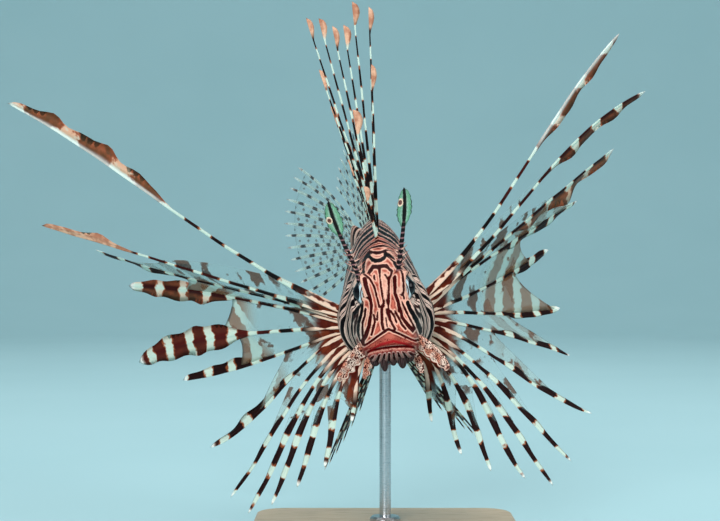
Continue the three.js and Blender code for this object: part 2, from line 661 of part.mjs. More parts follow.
function standBase() {
  const inner = roundedRectangle(BASE_WIDTH - 2 * BASE_BEVEL, BASE_DEPTH - 2 * BASE_BEVEL, BASE_CORNER);
  const geometry = new THREE.ExtrudeGeometry(inner, {
    depth: BASE_HEIGHT - 2 * BASE_BEVEL, bevelSize: BASE_BEVEL, bevelThickness: BASE_BEVEL,
    bevelSegments: 2, curveSegments: 4,
  });
  geometry.translate(0, 0, BASE_BEVEL);
  return solidOf(geometry);
}

// The rod with its collar, long enough to run into the belly, which then cuts it to length.
function standRod(belly) {
  const foot = BASE_HEIGHT + GAP;
  const outline = [[0, foot], [COLLAR_RADIUS, foot], [COLLAR_RADIUS, foot + COLLAR_HEIGHT - 1],
    [COLLAR_RADIUS - 1, foot + COLLAR_HEIGHT], [ROD_RADIUS, foot + COLLAR_HEIGHT],
    [ROD_RADIUS, SNOUT.z], [0, SNOUT.z]];
  const rod = new THREE.LatheGeometry(outline.map(([r, h]) => new THREE.Vector2(r, h)), 20);
  rod.rotateX(Math.PI / 2);
  return solidOf(rod).subtract(belly);
}

const fish = new THREE.Group();
fish.position.copy(SNOUT);
fish.quaternion
  .setFromAxisAngle(point(0, 1, 0), -radians(ROLL))
  .multiply(new THREE.Quaternion().setFromAxisAngle(point(1, 0, 0), radians(PITCH)));
fish.updateMatrixWorld(true);

const clear = keepOut();
const SIDES = [[-1, 'right'], [1, 'left']];
fish.add(meshOf('head', head(), FLESH));
fish.add(meshOf('lower_jaw', lowerJaw(), FLESH));
for (const name of ['trunk_front', 'trunk_rear', 'tail_stalk']) {
  fish.add(meshOf(name, bodyPiece(name), FLESH));
}
fish.add(meshOf('dorsal_fin_spiny', spinyDorsal().subtract(clear), FIN));
fish.add(meshOf('dorsal_fin_soft', softDorsal().subtract(clear), FIN));
fish.add(meshOf('anal_fin', analFin().subtract(clear), FIN));
fish.add(meshOf('caudal_fin', caudalFin().subtract(clear), FIN));
for (const [side, name] of SIDES) {
  const cover = gillCover(side, 0).subtract(clear);
  const coverRoom = gillCover(side, GAP);
  const pectoral = pectoralFin(side, side < 0 ? PECTORAL_RIGHT : PECTORAL_LEFT, PECTORAL_ROOT[name]);
  fish.add(meshOf(`gill_cover_${name}`, cover, FLESH));
  fish.add(meshOf(`eye_${name}`, eyeball(side, 0), EYEBALL));
  fish.add(meshOf(`eye_tentacle_${name}`, eyeTentacle(side).subtract(clear), FLESH));
  fish.add(meshOf(`mouth_flap_${name}`, mouthFlap(side).subtract(clear), FLESH));
  fish.add(meshOf(`jaw_flap_${name}`, jawFlap(side).subtract(clear), FLESH));
  fish.add(meshOf(`pelvic_fin_${name}`, pelvicFin(side, PELVIC[name]).subtract(clear), FIN));
  fish.add(meshOf(`pectoral_fin_${name}`, pectoral.subtract(clear).subtract(coverRoom), FIN));
}

const belly = bodyLength(HEAD_END - 10, MID_BODY, 12, 28, GAP + 0.05);
const placed = new THREE.Group();
placed.add(fish);
placed.add(meshOf('stand_base', standBase(), WOOD));
const bellyMesh = meshOf('belly', belly, FLESH);
placed.add(meshOf('stand_rod', standRod(solidOf(bellyMesh.geometry.applyMatrix4(fish.matrixWorld))), STEEL));

export default placed;
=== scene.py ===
"""A red lionfish, life size, on a plain stand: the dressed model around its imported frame.

The fish is laid out in its own frame in millimetres: x to its own left, y back from the tip of
the snout, z up. The carriage bends that frame and carries it to its place over the stand.
"""
import logging
import math
from dataclasses import dataclass, replace
from enum import Enum
from typing import Callable, Sequence

import bmesh
import bpy
from mathutils import Matrix, Vector, noise


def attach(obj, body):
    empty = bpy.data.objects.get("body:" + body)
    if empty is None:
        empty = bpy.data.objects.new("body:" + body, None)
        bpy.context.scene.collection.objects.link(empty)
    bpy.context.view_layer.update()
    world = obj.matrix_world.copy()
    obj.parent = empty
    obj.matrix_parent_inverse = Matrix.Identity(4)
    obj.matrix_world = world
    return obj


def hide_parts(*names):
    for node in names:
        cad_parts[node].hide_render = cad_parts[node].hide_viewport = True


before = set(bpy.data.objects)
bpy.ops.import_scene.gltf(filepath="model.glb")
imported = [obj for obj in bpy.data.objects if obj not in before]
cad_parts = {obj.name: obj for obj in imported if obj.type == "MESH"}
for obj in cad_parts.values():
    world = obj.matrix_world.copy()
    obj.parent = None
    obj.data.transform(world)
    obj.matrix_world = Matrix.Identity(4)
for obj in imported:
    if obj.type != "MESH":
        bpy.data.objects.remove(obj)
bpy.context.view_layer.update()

log = logging.getLogger("lionfish")
MM = 0.001
SIDES = {"right": -1, "left": 1}
SKIN_VALUES = ("ink", "tone", "shade", "red", "dim")
FIN_VALUES = ("phase", "share", "red", "flesh", "web", "vane", "ink", "spot", "tan", "tip", "cloth", "bloom")

Pair = tuple[float, float]
Triple = tuple[float, float, float]
Values = dict[str, float]
Path = Callable[[float], Vector]
Measure = Callable[[float], float]
Place = Callable[[float, float], tuple[Vector, Values]]


def clamp(value: float, low: float = 0.0, high: float = 1.0) -> float:
    """Keeps a value within two limits."""
    return max(low, min(high, value))


def smooth(value: float, low: float, high: float) -> float:
    """Rises smoothly from 0 at low to 1 at high, or falls where low is the greater."""
    t = clamp((value - low) / (high - low))
    return t * t * (3 - 2 * t)


def bell(value: float, centre: float, width: float) -> float:
    """A rounded bump of height 1 around centre."""
    return math.exp(-(((value - centre) / width) ** 2))


def dome(share: float) -> float:
    """The height of a dome of height 1 at a share of its radius from its middle."""
    return math.sqrt(max(1 - share**2, 0))


def blend(pair: Pair, share: float) -> float:
    """The value a share of the way through a pair."""
    return pair[0] + (pair[1] - pair[0]) * share


def closing(t: float, start: float) -> float:
    """How wide a part still is where its end closes in a dome from start on."""
    return dome(max(t - start, 0) / (1 - start))


def flag(width: float, start: float, peak: float, t: float) -> float:
    """The width of a vane that opens at start, is widest at peak and closes at the tip.

    Args:
        width: Its greatest width.
        start: The share of the length at which it opens.
        peak: The share at which it is widest.
        t: The share to measure at.

    Returns:
        The width there.
    """
    if t <= start:
        return 0.0
    return width * (smooth(t, start, peak) if t < peak else dome((t - peak) / (1 - peak)))


def folded(around: float, half: int) -> tuple[int, int]:
    """The column across a flat part at a share around it, and 1 on its front or -1 on its back."""
    index = round(around * 2 * half)
    return (index, 1) if index <= half else (2 * half - index, -1)


@dataclass(frozen=True)
class Carriage:
    """How the fish is carried: tail swung to its right, nose down, rolled to its left."""

    snout: Triple = (1.1, -74.0, 112.0)
    pitch: float = 12.0
    roll: float = 6.0
    bend_start: float = 90.0
    bend_span: float = 200.0
    bend_angle: float = 70.0
    bend_power: float = 3.0
    bend_steps: int = 24

    def heading(self, s: float) -> float:
        """The backbone's turn to the fish's right at s millimetres, in radians."""
        share = max(s - self.bend_start, 0) / self.bend_span
        return math.radians(self.bend_angle) * share**self.bend_power

    def bent(self, x: float, s: float, z: float) -> Vector:
        """Carries a point of the straight fish onto the bent backbone.

        Args:
            x: Distance to the fish's left.
            s: Distance back from the snout, along the backbone.
            z: Height.

        Returns:
            The point in the fish's own frame.
        """
        centre_x, centre_y = 0.0, min(s, self.bend_start)
        step = max(s - self.bend_start, 0) / self.bend_steps
        if step > 0:
            for k in range(self.bend_steps):
                angle = self.heading(self.bend_start + (k + 0.5) * step)
                centre_x -= math.sin(angle) * step
                centre_y += math.cos(angle) * step
        angle = self.heading(s)
        return Vector((centre_x + x * math.cos(angle), centre_y + x * math.sin(angle), z))

    def matrix(self) -> Matrix:
        """The move from the fish's frame in millimetres to the model's in metres.

        Returns:
            The move.
        """
        roll = Matrix.Rotation(-math.radians(self.roll), 4, "Y")
        pitch = Matrix.Rotation(math.radians(self.pitch), 4, "X")
        return Matrix.Scale(MM, 4) @ Matrix.Translation(self.snout) @ roll @ pitch


@dataclass(frozen=True)
class Section:
    """One cross-section of the body at s: its edges, its widest line and how square it is."""

    s: float
    top: float
    bottom: float
    half: float
    waist: float
    above: float
    below: float

    def drawn_in(self, share: float) -> "Section":
        """The same section at a share of its size, about its widest line.

        Args:
            share: The share.

        Returns:
            The new section.
        """
        top = self.waist + (self.top - self.waist) * share
        bottom = self.waist + (self.bottom - self.waist) * share
        return replace(self, top=top, bottom=bottom, half=self.half * share)


@dataclass(frozen=True)
class BodyForm:
    """The plain surface of the straight body."""

    nose_cap: float = 6.0
    nose_height: float = -3.0
    sections: tuple[Section, ...] = (
        Section(6, 7, -12.5, 12.2, -4, 2.6, 2.3),
        Section(16, 16.5, -16, 14.8, -2, 3, 2.2),
        Section(27, 25.5, -18.5, 16.8, -1, 3, 2.1),
        Section(38, 31.5, -21.5, 19.8, -3, 1.8, 2),
        Section(50, 36, -25.5, 22.4, -4, 1.45, 1.9),
        Section(64, 39, -30, 23.4, -4, 1.25, 1.9),
        Section(80, 40.5, -33, 23.2, -2, 1.25, 1.85),
        Section(100, 40, -33.5, 21.3, 1, 1.4, 1.8),
        Section(125, 36.5, -30.5, 18, 3, 1.6, 1.8),
        Section(150, 30.5, -23.5, 13.8, 3.5, 1.8, 1.8),
        Section(175, 22.5, -14.5, 9.3, 4, 1.9, 1.9),
        Section(195, 17, -9, 6.3, 4, 2, 2),
        Section(210, 15, -7.5, 4.8, 4, 2, 2),
        Section(224, 15.5, -8, 3.4, 4, 2, 2),
    )

    def size(self, key: str, s: float) -> float:
        """One measure of the body, which runs smoothly through the sections.

        Args:
            key: The name of the section's field.
            s: The distance from the snout.

        Returns:
            The measure there.
        """
        rows = self.sections
        k = 0
        while k < len(rows) - 2 and s > rows[k + 1].s:
            k += 1
        a, b = rows[k], rows[k + 1]
        before, after = rows[max(k - 1, 0)], rows[min(k + 2, len(rows) - 1)]
        span = b.s - a.s
        t = clamp((s - a.s) / span)
        va, vb = getattr(a, key), getattr(b, key)
        slope_a = (vb - getattr(before, key)) / (b.s - before.s) * span
        slope_b = (getattr(after, key) - va) / (after.s - a.s) * span
        return (
            (2 * t**3 - 3 * t**2 + 1) * va + (t**3 - 2 * t**2 + t) * slope_a
            + (3 * t**2 - 2 * t**3) * vb + (t**3 - t**2) * slope_b
        )

    def ring(self, s: float) -> Section:
        """The cross-section at any distance from the snout, rounded off over the nose.

        Args:
            s: The distance from the snout.

        Returns:
            The section there.
        """
        at = max(s, self.nose_cap)
        cap = dome(1 - min(s / self.nose_cap, 1))

        def height(key: str) -> float:
            """One of the section's heights, drawn in over the nose."""
            return self.nose_height + (self.size(key, at) - self.nose_height) * cap

        return Section(
            s, height("top"), height("bottom"), self.size("half", at) * cap, height("waist"),
            self.size("above", at), self.size("below", at),
        )

    def point(self, ring: Section, turn: float) -> Vector:
        """A point of a ring.

        Args:
            ring: The cross-section.
            turn: The turn from the back towards the fish's left, in radians.

        Returns:
            The point on the straight body.
        """
        c, n = math.cos(turn), math.sin(turn)
        edge, power = (ring.top, 2 / ring.above) if c >= 0 else (ring.bottom, 2 / ring.below)
        x = ring.half * math.copysign(abs(n) ** power, n)
        return Vector((x, ring.s, ring.waist + (edge - ring.waist) * abs(c) ** power))


CARRIAGE = Carriage()
BODY = BodyForm()


def add_object(name: str, form: bmesh.types.BMesh, material: bpy.types.Material) -> bpy.types.Object:
    """Makes a smooth object of a bmesh and puts it in the scene.

    Args:
        name: The object's name.
        form: The mesh, which is freed.
        material: Its finish.

    Returns:
        The new object.
    """
    mesh = bpy.data.meshes.new(name)
    form.to_mesh(mesh)
    form.free()
    mesh.shade_smooth()
    mesh.materials.append(material)
    made = bpy.data.objects.new(name, mesh)
    bpy.context.scene.collection.objects.link(made)
    return made


class Form:
    """A mesh under construction in the fish's frame, with named values on its vertices."""

    def __init__(self, *values: str) -> None:
        """Starts an empty mesh whose vertices hold the named values, 0 until they are set."""
        self.mesh = bmesh.new()
        self.layers = {name: self.mesh.verts.layers.float.new(name) for name in values}

    def mark(self, vert: bmesh.types.BMVert, values: Values) -> None:
        """Sets some of a vertex's named values."""
        for name, value in values.items():
            vert[self.layers[name]] = value

    def loft(self, columns: int, rows: int, place: Place) -> None:
        """Adds a closed skin from a grid whose two long edges meet.

        Args:
            columns: Faces around the skin.
            rows: Faces along it.
            place: Gives the point and the named values at a share around and a share along.
        """
        made = bmesh.ops.create_grid(self.mesh, x_segments=columns, y_segments=rows, size=0.5)["verts"]
        for vert in made:
            around, along = vert.co.x + 0.5, vert.co.y + 0.5
            vert.co, values = place(round(around * columns) % columns / columns, along)
            self.mark(vert, values)
        bmesh.ops.remove_doubles(self.mesh, verts=made, dist=1e-4)

    def tube(
        self, columns: int, rows: int, path: Path, radius: Measure, across: Vector, up: Vector,
        values: Callable[[float], Values],
    ) -> None:
        """Adds a round bar along a path.

        Args:
            columns: Faces around the bar.
            rows: Faces along it.
            path: The bar's middle line, by the share of its length.
            radius: Its radius, likewise.
            across: One direction across it.
            up: The other.
            values: Its named values, likewise.
        """
        def place(around: float, t: float) -> tuple[Vector, Values]:
            """A point of the bar's surface."""
            turn = 2 * math.pi * around
            return path(t) + (across * math.cos(turn) + up * math.sin(turn)) * radius(t), values(t)

        self.loft(columns, rows, place)

    def face_outwards(self) -> None:
        """Turns all faces outwards."""
        bmesh.ops.recalc_face_normals(self.mesh, faces=self.mesh.faces)
        if self.mesh.calc_volume(signed=True) < 0:
            bmesh.ops.reverse_faces(self.mesh, faces=self.mesh.faces)
        self.mesh.normal_update()

    def finish(
        self, name: str, material: bpy.types.Material, replaced: Sequence[str] = (),
    ) -> None:
        """Closes the mesh, carries it to its place and puts it in the scene as one piece on the root.

        Args:
            name: The piece's name.
            material: Its finish.
            replaced: The nodes of the frame that the piece stands for.
        """
        self.face_outwards()
        self.mesh.transform(CARRIAGE.matrix())
        piece = add_object(name, self.mesh, material)
        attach(piece, "root")
        if replaced:
            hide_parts(*replaced)
        log.info("%s: %d faces", name, len(piece.data.polygons))


# Shader building


class Value:
    """A number or a colour in a node tree, which takes arithmetic as a plain number does."""

    def __init__(self, graph: "Graph", socket: bpy.types.NodeSocket) -> None:
        """Wraps the socket that gives the value."""
        self.graph, self.socket = graph, socket

    def __add__(self, other: "Value | float") -> "Value":
        """The sum."""
        return self.graph.math("ADD", self, other)

    def __sub__(self, other: "Value | float") -> "Value":
        """The difference."""
        return self.graph.math("SUBTRACT", self, other)

    def __rsub__(self, other: float) -> "Value":
        """The difference from a plain number."""
        return self.graph.math("SUBTRACT", other, self)

    def __mul__(self, other: "Value | float") -> "Value":
        """The product."""
        return self.graph.math("MULTIPLY", self, other)


Number = Value | float
Colour = tuple[float, float, float, float]


def rgb(red: float, green: float, blue: float) -> Colour:
    """A colour as a node takes it."""
    return (red, green, blue, 1.0)


class Graph:
    """Adds nodes to one node tree and links them."""

    def __init__(self, tree: bpy.types.NodeTree) -> None:
        """Takes the tree to build in."""
        self.tree = tree

    def feed(self, socket: bpy.types.NodeSocket, value: object) -> None:
        """Links a value to an input, or sets it to a constant.

        Args:
            socket: The input.
            value: The value or the constant.
        """
        if isinstance(value, Value):
            self.tree.links.new(value.socket, socket)
        else:
            socket.default_value = value

    def node(self, kind: str, inputs: dict | None = None, **settings: object) -> bpy.types.Node:
        """Adds a node.

        Args:
            kind: Blender's name for the kind of node.
            inputs: What feeds its inputs, by name or number.
            settings: Its options.

        Returns:
            The new node.
        """
        made = self.tree.nodes.new(kind)
        for key, value in settings.items():
            setattr(made, key, value)
        for key, value in (inputs or {}).items():
            self.feed(made.inputs[key], value)
        return made

    def result(self, output: str | int, kind: str, inputs: dict | None = None, **settings: object) -> Value:
        """Adds a node and gives the named output as a value."""
        return Value(self, self.node(kind, inputs, **settings).outputs[output])

    def math(self, operation: str, a: Number, b: Number = 0.0, clamped: bool = False) -> Value:
        """One step of arithmetic."""
        return self.result(0, "ShaderNodeMath", {0: a, 1: b}, operation=operation, use_clamp=clamped)

    def step(self, value: Number, low: Number, high: Number) -> Value:
        """Rises smoothly from 0 at low to 1 at high, or falls where low is the greater."""
        inputs = {"Value": value, "From Min": low, "From Max": high}
        return self.result("Result", "ShaderNodeMapRange", inputs, interpolation_type="SMOOTHSTEP")

    def mix(self, share: Number, a: "Value | Colour", b: "Value | Colour") -> Value:
        """The colour a share of the way from one to another."""
        return self.result(2, "ShaderNodeMix", {0: share, 6: a, 7: b}, data_type="RGBA")

    def between(self, share: Value, a: Number, b: Number) -> Value:
        """The number a share of the way from one to another."""
        return self.math("ADD", a, share * self.math("SUBTRACT", b, a))

    def attribute(self, name: str) -> Value:
        """A named value of the piece's vertices."""
        return self.result("Fac", "ShaderNodeAttribute", attribute_name=name)

    def place(self, scale: Triple = (1, 1, 1)) -> Value:
        """The point on the object in millimetres, stretched by scale."""
        inputs = {0: self.result("Object", "ShaderNodeTexCoord"), 1: tuple(value / MM for value in scale)}
        return self.result(0, "ShaderNodeVectorMath", inputs, operation="MULTIPLY")

    def noise(self, per_mm: Number, detail: float = 2.0, where: Value | None = None) -> Value:
        """Cloudy noise around 0.5, with so many clouds in a millimetre of the object or of where."""
        inputs = {"Vector": where or self.place(), "Scale": per_mm, "Detail": detail}
        return self.result("Fac", "ShaderNodeTexNoise", inputs)

    def wobble(self, per_mm: float, detail: float, swing: float) -> Value:
        """Cloudy noise around 0 that swings by half of swing either way."""
        return (self.noise(per_mm, detail) - 0.5) * swing

    def group(self, name: str, **inputs: Number) -> Value:
        """The first output of a shared group, its inputs named in lower case with underscores."""
        named = {key.replace("_", " ").capitalize(): value for key, value in inputs.items()}
        return self.result(0, "ShaderNodeGroup", named, node_tree=bpy.data.node_groups[name])


def add_group(name: str, inputs: Sequence[str], output: str, effect: Callable[..., Value]) -> None:
    """Makes a shader group of number sockets.

    Args:
        name: The group's name.
        inputs: The names of its inputs.
        output: The name of its output.
        effect: Builds the effect, given the graph and the inputs in order.
    """
    tree = bpy.data.node_groups.new(name, "ShaderNodeTree")
    for key in inputs:
        tree.interface.new_socket(name=key, in_out="INPUT", socket_type="NodeSocketFloat")
    tree.interface.new_socket(name=output, in_out="OUTPUT", socket_type="NodeSocketFloat")
    graph = Graph(tree)
    ends = graph.node("NodeGroupInput").outputs
    graph.node("NodeGroupOutput", {0: effect(graph, *(Value(graph, ends[key]) for key in inputs))})


def bands(graph: Graph, phase: Value, share: Value, edge: Value) -> Value:
    """Dark bands, one to each whole step of phase, that take up a share of it."""
    swing = graph.math("PINGPONG", phase, 0.5) * 2.0
    return graph.step(swing, share + edge, share - edge)


def pores(graph: Graph, per_mm: Value, depth: Value) -> Value:
    """Fine pits among coarser ones."""
    return (graph.noise(per_mm, 3.0) + graph.noise(per_mm * 0.3, 1.0)) * depth


def mottle(graph: Graph, per_mm: Value, low: Value, high: Value) -> Value:
    """Cloudy patches."""
    return graph.step(graph.noise(per_mm, 4.0), low, high)


def build_groups() -> None:
    """Builds the effects that several finishes share."""
    add_group("bands", ("Phase", "Share", "Edge"), "Dark", bands)
    add_group("pores", ("Per mm", "Depth"), "Height", pores)
    add_group("mottle", ("Per mm", "Low", "High"), "Mask", mottle)


@dataclass(frozen=True)
class Finish:
    """A painted surface: how rough it is, how glossy its coat is and how deep its grain is."""

    name: str
    roughness: float = 0.45
    coat: float = 0.0
    coat_roughness: float = 0.15
    shine: float = 0.5
    metallic: float = 0.0
    grain_per_mm: float = 2.0
    grain_depth: float = 0.1

    def pattern(self, graph: Graph) -> dict[str, Value]:
        """What varies over the surface, by the shader's sockets: nothing, unless a finish says so."""
        return {}

    def rough(self, grain: Value, spread: float) -> Value:
        """A roughness that a pattern spreads about the finish's own."""
        return grain * spread + (self.roughness - spread / 2)

    def material(self) -> bpy.types.Material:
        """Makes the material.

        Returns:
            The material with its pattern.
        """
        material = bpy.data.materials.new(self.name)
        material.use_nodes = True
        material.node_tree.nodes.clear()
        graph = Graph(material.node_tree)
        shader = graph.node("ShaderNodeBsdfPrincipled", {
            "Roughness": self.roughness, "Coat Weight": self.coat, "Coat Roughness": self.coat_roughness,
            "Specular IOR Level": self.shine, "Metallic": self.metallic,
        })
        graph.node("ShaderNodeOutputMaterial", {"Surface": Value(graph, shader.outputs[0])})
        if self.grain_depth:
            height = graph.group("pores", per_mm=self.grain_per_mm, depth=1.0)
            bump = {"Height": height, "Distance": self.grain_depth * MM, "Strength": 0.5}
            graph.feed(shader.inputs["Normal"], graph.result("Normal", "ShaderNodeBump", bump))
        for key, value in self.pattern(graph).items():
            graph.feed(shader.inputs[key], value)
        return material


@dataclass(frozen=True)
class SkinFinish(Finish):
    """Striped skin: dark lines edged with cream on a ground from salmon pink to grey lilac, with painted
    shade under the chin.
    """

    salmon: Colour = rgb(0.50, 0.12, 0.08)
    cream: Colour = rgb(0.80, 0.45, 0.34)
    lilac: Colour = rgb(0.40, 0.19, 0.16)
    pale: Colour = rgb(0.80, 0.61, 0.51)
    # Painted shade colours for the underside of the chin and its lobes.
    painted_shade_dark: Colour = rgb(0.012, 0.010, 0.011)
    painted_shade_mauve: Colour = rgb(0.035, 0.014, 0.018)
    wine: Colour = rgb(0.042, 0.003, 0.003)
    black: Colour = rgb(0.004, 0.003, 0.004)
    red: Colour = rgb(0.30, 0.009, 0.011)
    wobble: float = 0.6
    fine_line: float = 1.25
    lip_folds: float = 9.0

    def pattern(self, graph: Graph) -> dict[str, Value]:
        """The lines and the ground of the skin, by their distance from the nearest dark mark.

        Args:
            graph: The graph to build in.

        Returns:
            The results, by the shader's sockets.
        """
        tone, red = graph.attribute("tone"), graph.attribute("red")
        edge = graph.attribute("ink") + graph.wobble(0.55, 3.0, self.wobble)
        cloud = graph.noise(0.22, 4.0)
        core = graph.mix(tone, self.salmon, self.lilac)
        core = graph.mix(graph.step(cloud, 0.35, 0.7), core, graph.mix(0.45, core, self.wine))
        fine = graph.step(graph.math("ABSOLUTE", edge - self.fine_line), 0.16, 0.04)
        core = graph.mix(fine * graph.step(cloud, 0.3, 0.45), core, self.wine)
        rim = graph.mix(tone, self.cream, self.pale)
        ground = graph.mix(graph.step(edge, 0.95, 0.4) * 0.9, core, rim)
        # Painted shade: below the mouth and on the chin's lobes the ground goes near black, for the shade
        # under the chin.
        painted_shade_dark = graph.mix(graph.step(graph.noise(0.5, 3.0), 0.42, 0.6), self.painted_shade_dark, self.painted_shade_mauve)
        ground = graph.mix(graph.attribute("dim"), ground, painted_shade_dark)
        line = graph.mix(graph.attribute("shade"), self.wine, self.black)
        colour = graph.mix(graph.step(edge, 0.34, 0.06), ground, line)
        folds = graph.group("bands", phase=graph.noise(0.42, 1.5) * self.lip_folds, share=0.3, edge=0.12)
        colour = graph.mix(folds * 0.85 * graph.step(red, 0.0, 0.14), colour, self.wine)
        rough = self.rough(graph.step(graph.noise(0.8, 2.0), 0.2, 0.8), 0.18)
        return {"Base Color": graph.mix(red, colour, self.red), "Roughness": rough}


@dataclass(frozen=True)
class FinFinish(Finish):
    """Banded rays and their vanes, a fleshy root with cream ovals and a thin, almost clear web."""

    black: Colour = rgb(0.007, 0.005, 0.005)
    wine: Colour = rgb(0.08, 0.010, 0.008)
    mint: Colour = rgb(0.56, 0.68, 0.58)
    fringe: Colour = rgb(0.30, 0.075, 0.025)
    olive: Colour = rgb(0.125, 0.052, 0.024)
    rust: Colour = rgb(0.32, 0.085, 0.038)
    blush: Colour = rgb(0.72, 0.41, 0.27)
    white: Colour = rgb(0.84, 0.86, 0.80)
    earth: Colour = rgb(0.075, 0.009, 0.005)
    orange: Colour = rgb(0.18, 0.030, 0.011)
    cream: Colour = rgb(0.84, 0.58, 0.44)
    glass: Colour = rgb(0.34, 0.50, 0.50)
    stain: Colour = rgb(0.13, 0.060, 0.032)
    tan: Colour = rgb(0.26, 0.12, 0.06)
    ray_alpha: float = 1.0
    web_alpha: float = 0.14
    cloth_alpha: float = 0.4
    stain_alpha: float = 0.66
    stain_share: float = 0.63
    wobble: float = 0.35
    oval_wobble: float = 0.9
    spotted: bool = False

    def banding(self, graph: Graph) -> tuple[Value, Value]:
        """Paints the rays and their vanes.

        Args:
            graph: The graph to build in.

        Returns:
            How dark the bands are, and the colour of the rays.
        """
        phase = graph.attribute("phase") + graph.wobble(0.25, 2.0, self.wobble)
        leaf = graph.attribute("vane") * graph.attribute("tan")
        share = graph.attribute("share") + leaf * 0.13
        dark = graph.group("bands", phase=phase, share=share, edge=0.04)
        wide = graph.group("bands", phase=phase, share=share + 0.09, edge=0.06)
        cloud = graph.group("mottle", per_mm=0.2, low=0.38, high=0.62)
        inked = graph.mix(graph.attribute("red"), self.black, self.wine)
        inked = graph.mix(leaf, inked, graph.mix(cloud * 0.7, self.olive, self.rust))
        light = graph.mix(graph.math("ADD", cloud, 0.5, clamped=True) * leaf, self.mint, self.blush)
        light = graph.mix(wide, light, graph.mix(leaf, self.fringe, self.rust))
        tip = graph.attribute("tip")
        banded = graph.mix(dark * (1.0 - tip), graph.mix(tip, light, self.white), inked)
        bloom = graph.mix(cloud * 0.7, self.blush, self.rust)
        return dark, graph.mix(graph.attribute("bloom"), banded, bloom)

    def pattern(self, graph: Graph) -> dict[str, Value]:
        """The rays, the fleshy root and the web, each where the named values say.

        Args:
            graph: The graph to build in.

        Returns:
            The results, by the shader's sockets.
        """
        flesh, cloth = graph.attribute("flesh"), graph.attribute("cloth")
        dark, ray = self.banding(graph)
        ground = graph.mix(graph.group("mottle", per_mm=0.12, low=0.45, high=0.68), self.earth, self.orange)
        oval = graph.attribute("ink") + graph.wobble(0.3, 1.0, self.oval_wobble)
        ray = graph.mix(flesh, ray, graph.mix(graph.step(oval, -0.08, 0.1), ground, self.cream))
        if self.spotted:
            stain = graph.step(graph.attribute("spot"), 0.1, -0.1)
        else:
            blots = graph.group("mottle", per_mm=0.13, low=self.stain_share, high=self.stain_share + 0.05)
            banded = dark * graph.group("mottle", per_mm=0.06, low=0.5, high=0.56)
            stain = graph.math("MAXIMUM", blots, graph.math("MAXIMUM", banded, dark * cloth))
        stained = graph.mix(cloth, self.stain, self.tan)
        clear = graph.mix(stain, graph.mix(cloth, self.glass, self.mint), stained)
        web = graph.math("MULTIPLY", graph.attribute("web"), 1.0 - flesh, clamped=True)
        thin = graph.between(stain, cloth * self.cloth_alpha + self.web_alpha, self.stain_alpha)
        solid = graph.math("ADD", dark * (0.4 * (1 - self.ray_alpha)), self.ray_alpha, clamped=True)
        return {"Base Color": graph.mix(web, ray, clear), "Alpha": graph.between(web, solid, thin)}


@dataclass(frozen=True)
class EyeFinish(Finish):
    """A glass eye: a black pupil and an upright black band on a striped iris."""

    black: Colour = rgb(0.004, 0.004, 0.006)
    iris: Colour = rgb(0.55, 0.68, 0.72)
    brown: Colour = rgb(0.10, 0.03, 0.02)
    stripes_per_mm: float = 0.42

    def pattern(self, graph: Graph) -> dict[str, Value]:
        """The pupil and the iris, by the distances out from and across the eye's axis.

        Args:
            graph: The graph to build in.

        Returns:
            The results, by the shader's sockets.
        """
        across = graph.attribute("across")
        pupil = graph.step(graph.attribute("out"), 4.3, 4.0)
        band = graph.step(graph.math("ABSOLUTE", across), 2.0, 1.6)
        lines = graph.group("bands", phase=across * self.stripes_per_mm, share=0.3, edge=0.1)
        iris = graph.mix(lines, self.iris, self.brown)
        return {"Base Color": graph.mix(graph.math("MAXIMUM", pupil, band), iris, self.black)}


@dataclass(frozen=True)
class StalkFinish(Finish):
    """The feeler above an eye: a dark stem with pink rings and a green leaf with an eyespot."""

    stem: Colour = rgb(0.008, 0.008, 0.009)
    ring: Colour = rgb(0.25, 0.12, 0.13)
    leaf: Colour = rgb(0.15, 0.37, 0.22)
    glow: Colour = rgb(0.42, 0.62, 0.50)
    vein: Colour = rgb(0.02, 0.06, 0.04)
    halo: Colour = rgb(0.88, 0.66, 0.48)
    pupil: Colour = rgb(0.15, 0.03, 0.015)
    leaf_thinness: float = 0.3

    def pattern(self, graph: Graph) -> dict[str, Value]:
        """The rings of the stem, then the leaf and its eyespot.

        Args:
            graph: The graph to build in.

        Returns:
            The results, by the shader's sockets.
        """
        rings = graph.group("bands", phase=graph.attribute("phase"), share=0.74, edge=0.12)
        rings = graph.math("MAXIMUM", rings, graph.step(graph.attribute("along"), 0.45, 0.7))
        blade, edge, eyespot = (graph.attribute(name) for name in ("blade", "edge", "eyespot"))
        veins = graph.step(graph.noise(0.7, 3.0), 0.46, 0.66)
        leaf = graph.mix(graph.step(edge, 0.7, 0.15), self.leaf, self.glow)
        leaf = graph.mix(veins * 0.7, leaf, self.leaf)
        rim = graph.step(edge, 0.78, 0.98) * graph.step(graph.noise(1.1, 1.0), 0.45, 0.55)
        colour = graph.mix(blade, graph.mix(rings, self.ring, self.stem), graph.mix(rim, leaf, self.vein))
        colour = graph.mix(graph.step(eyespot, 1.65, 1.5), colour, self.halo)
        colour = graph.mix(graph.step(eyespot, 1.05, 0.9), colour, self.pupil)
        return {"Base Color": colour, "Alpha": 1.0 - blade * self.leaf_thinness}


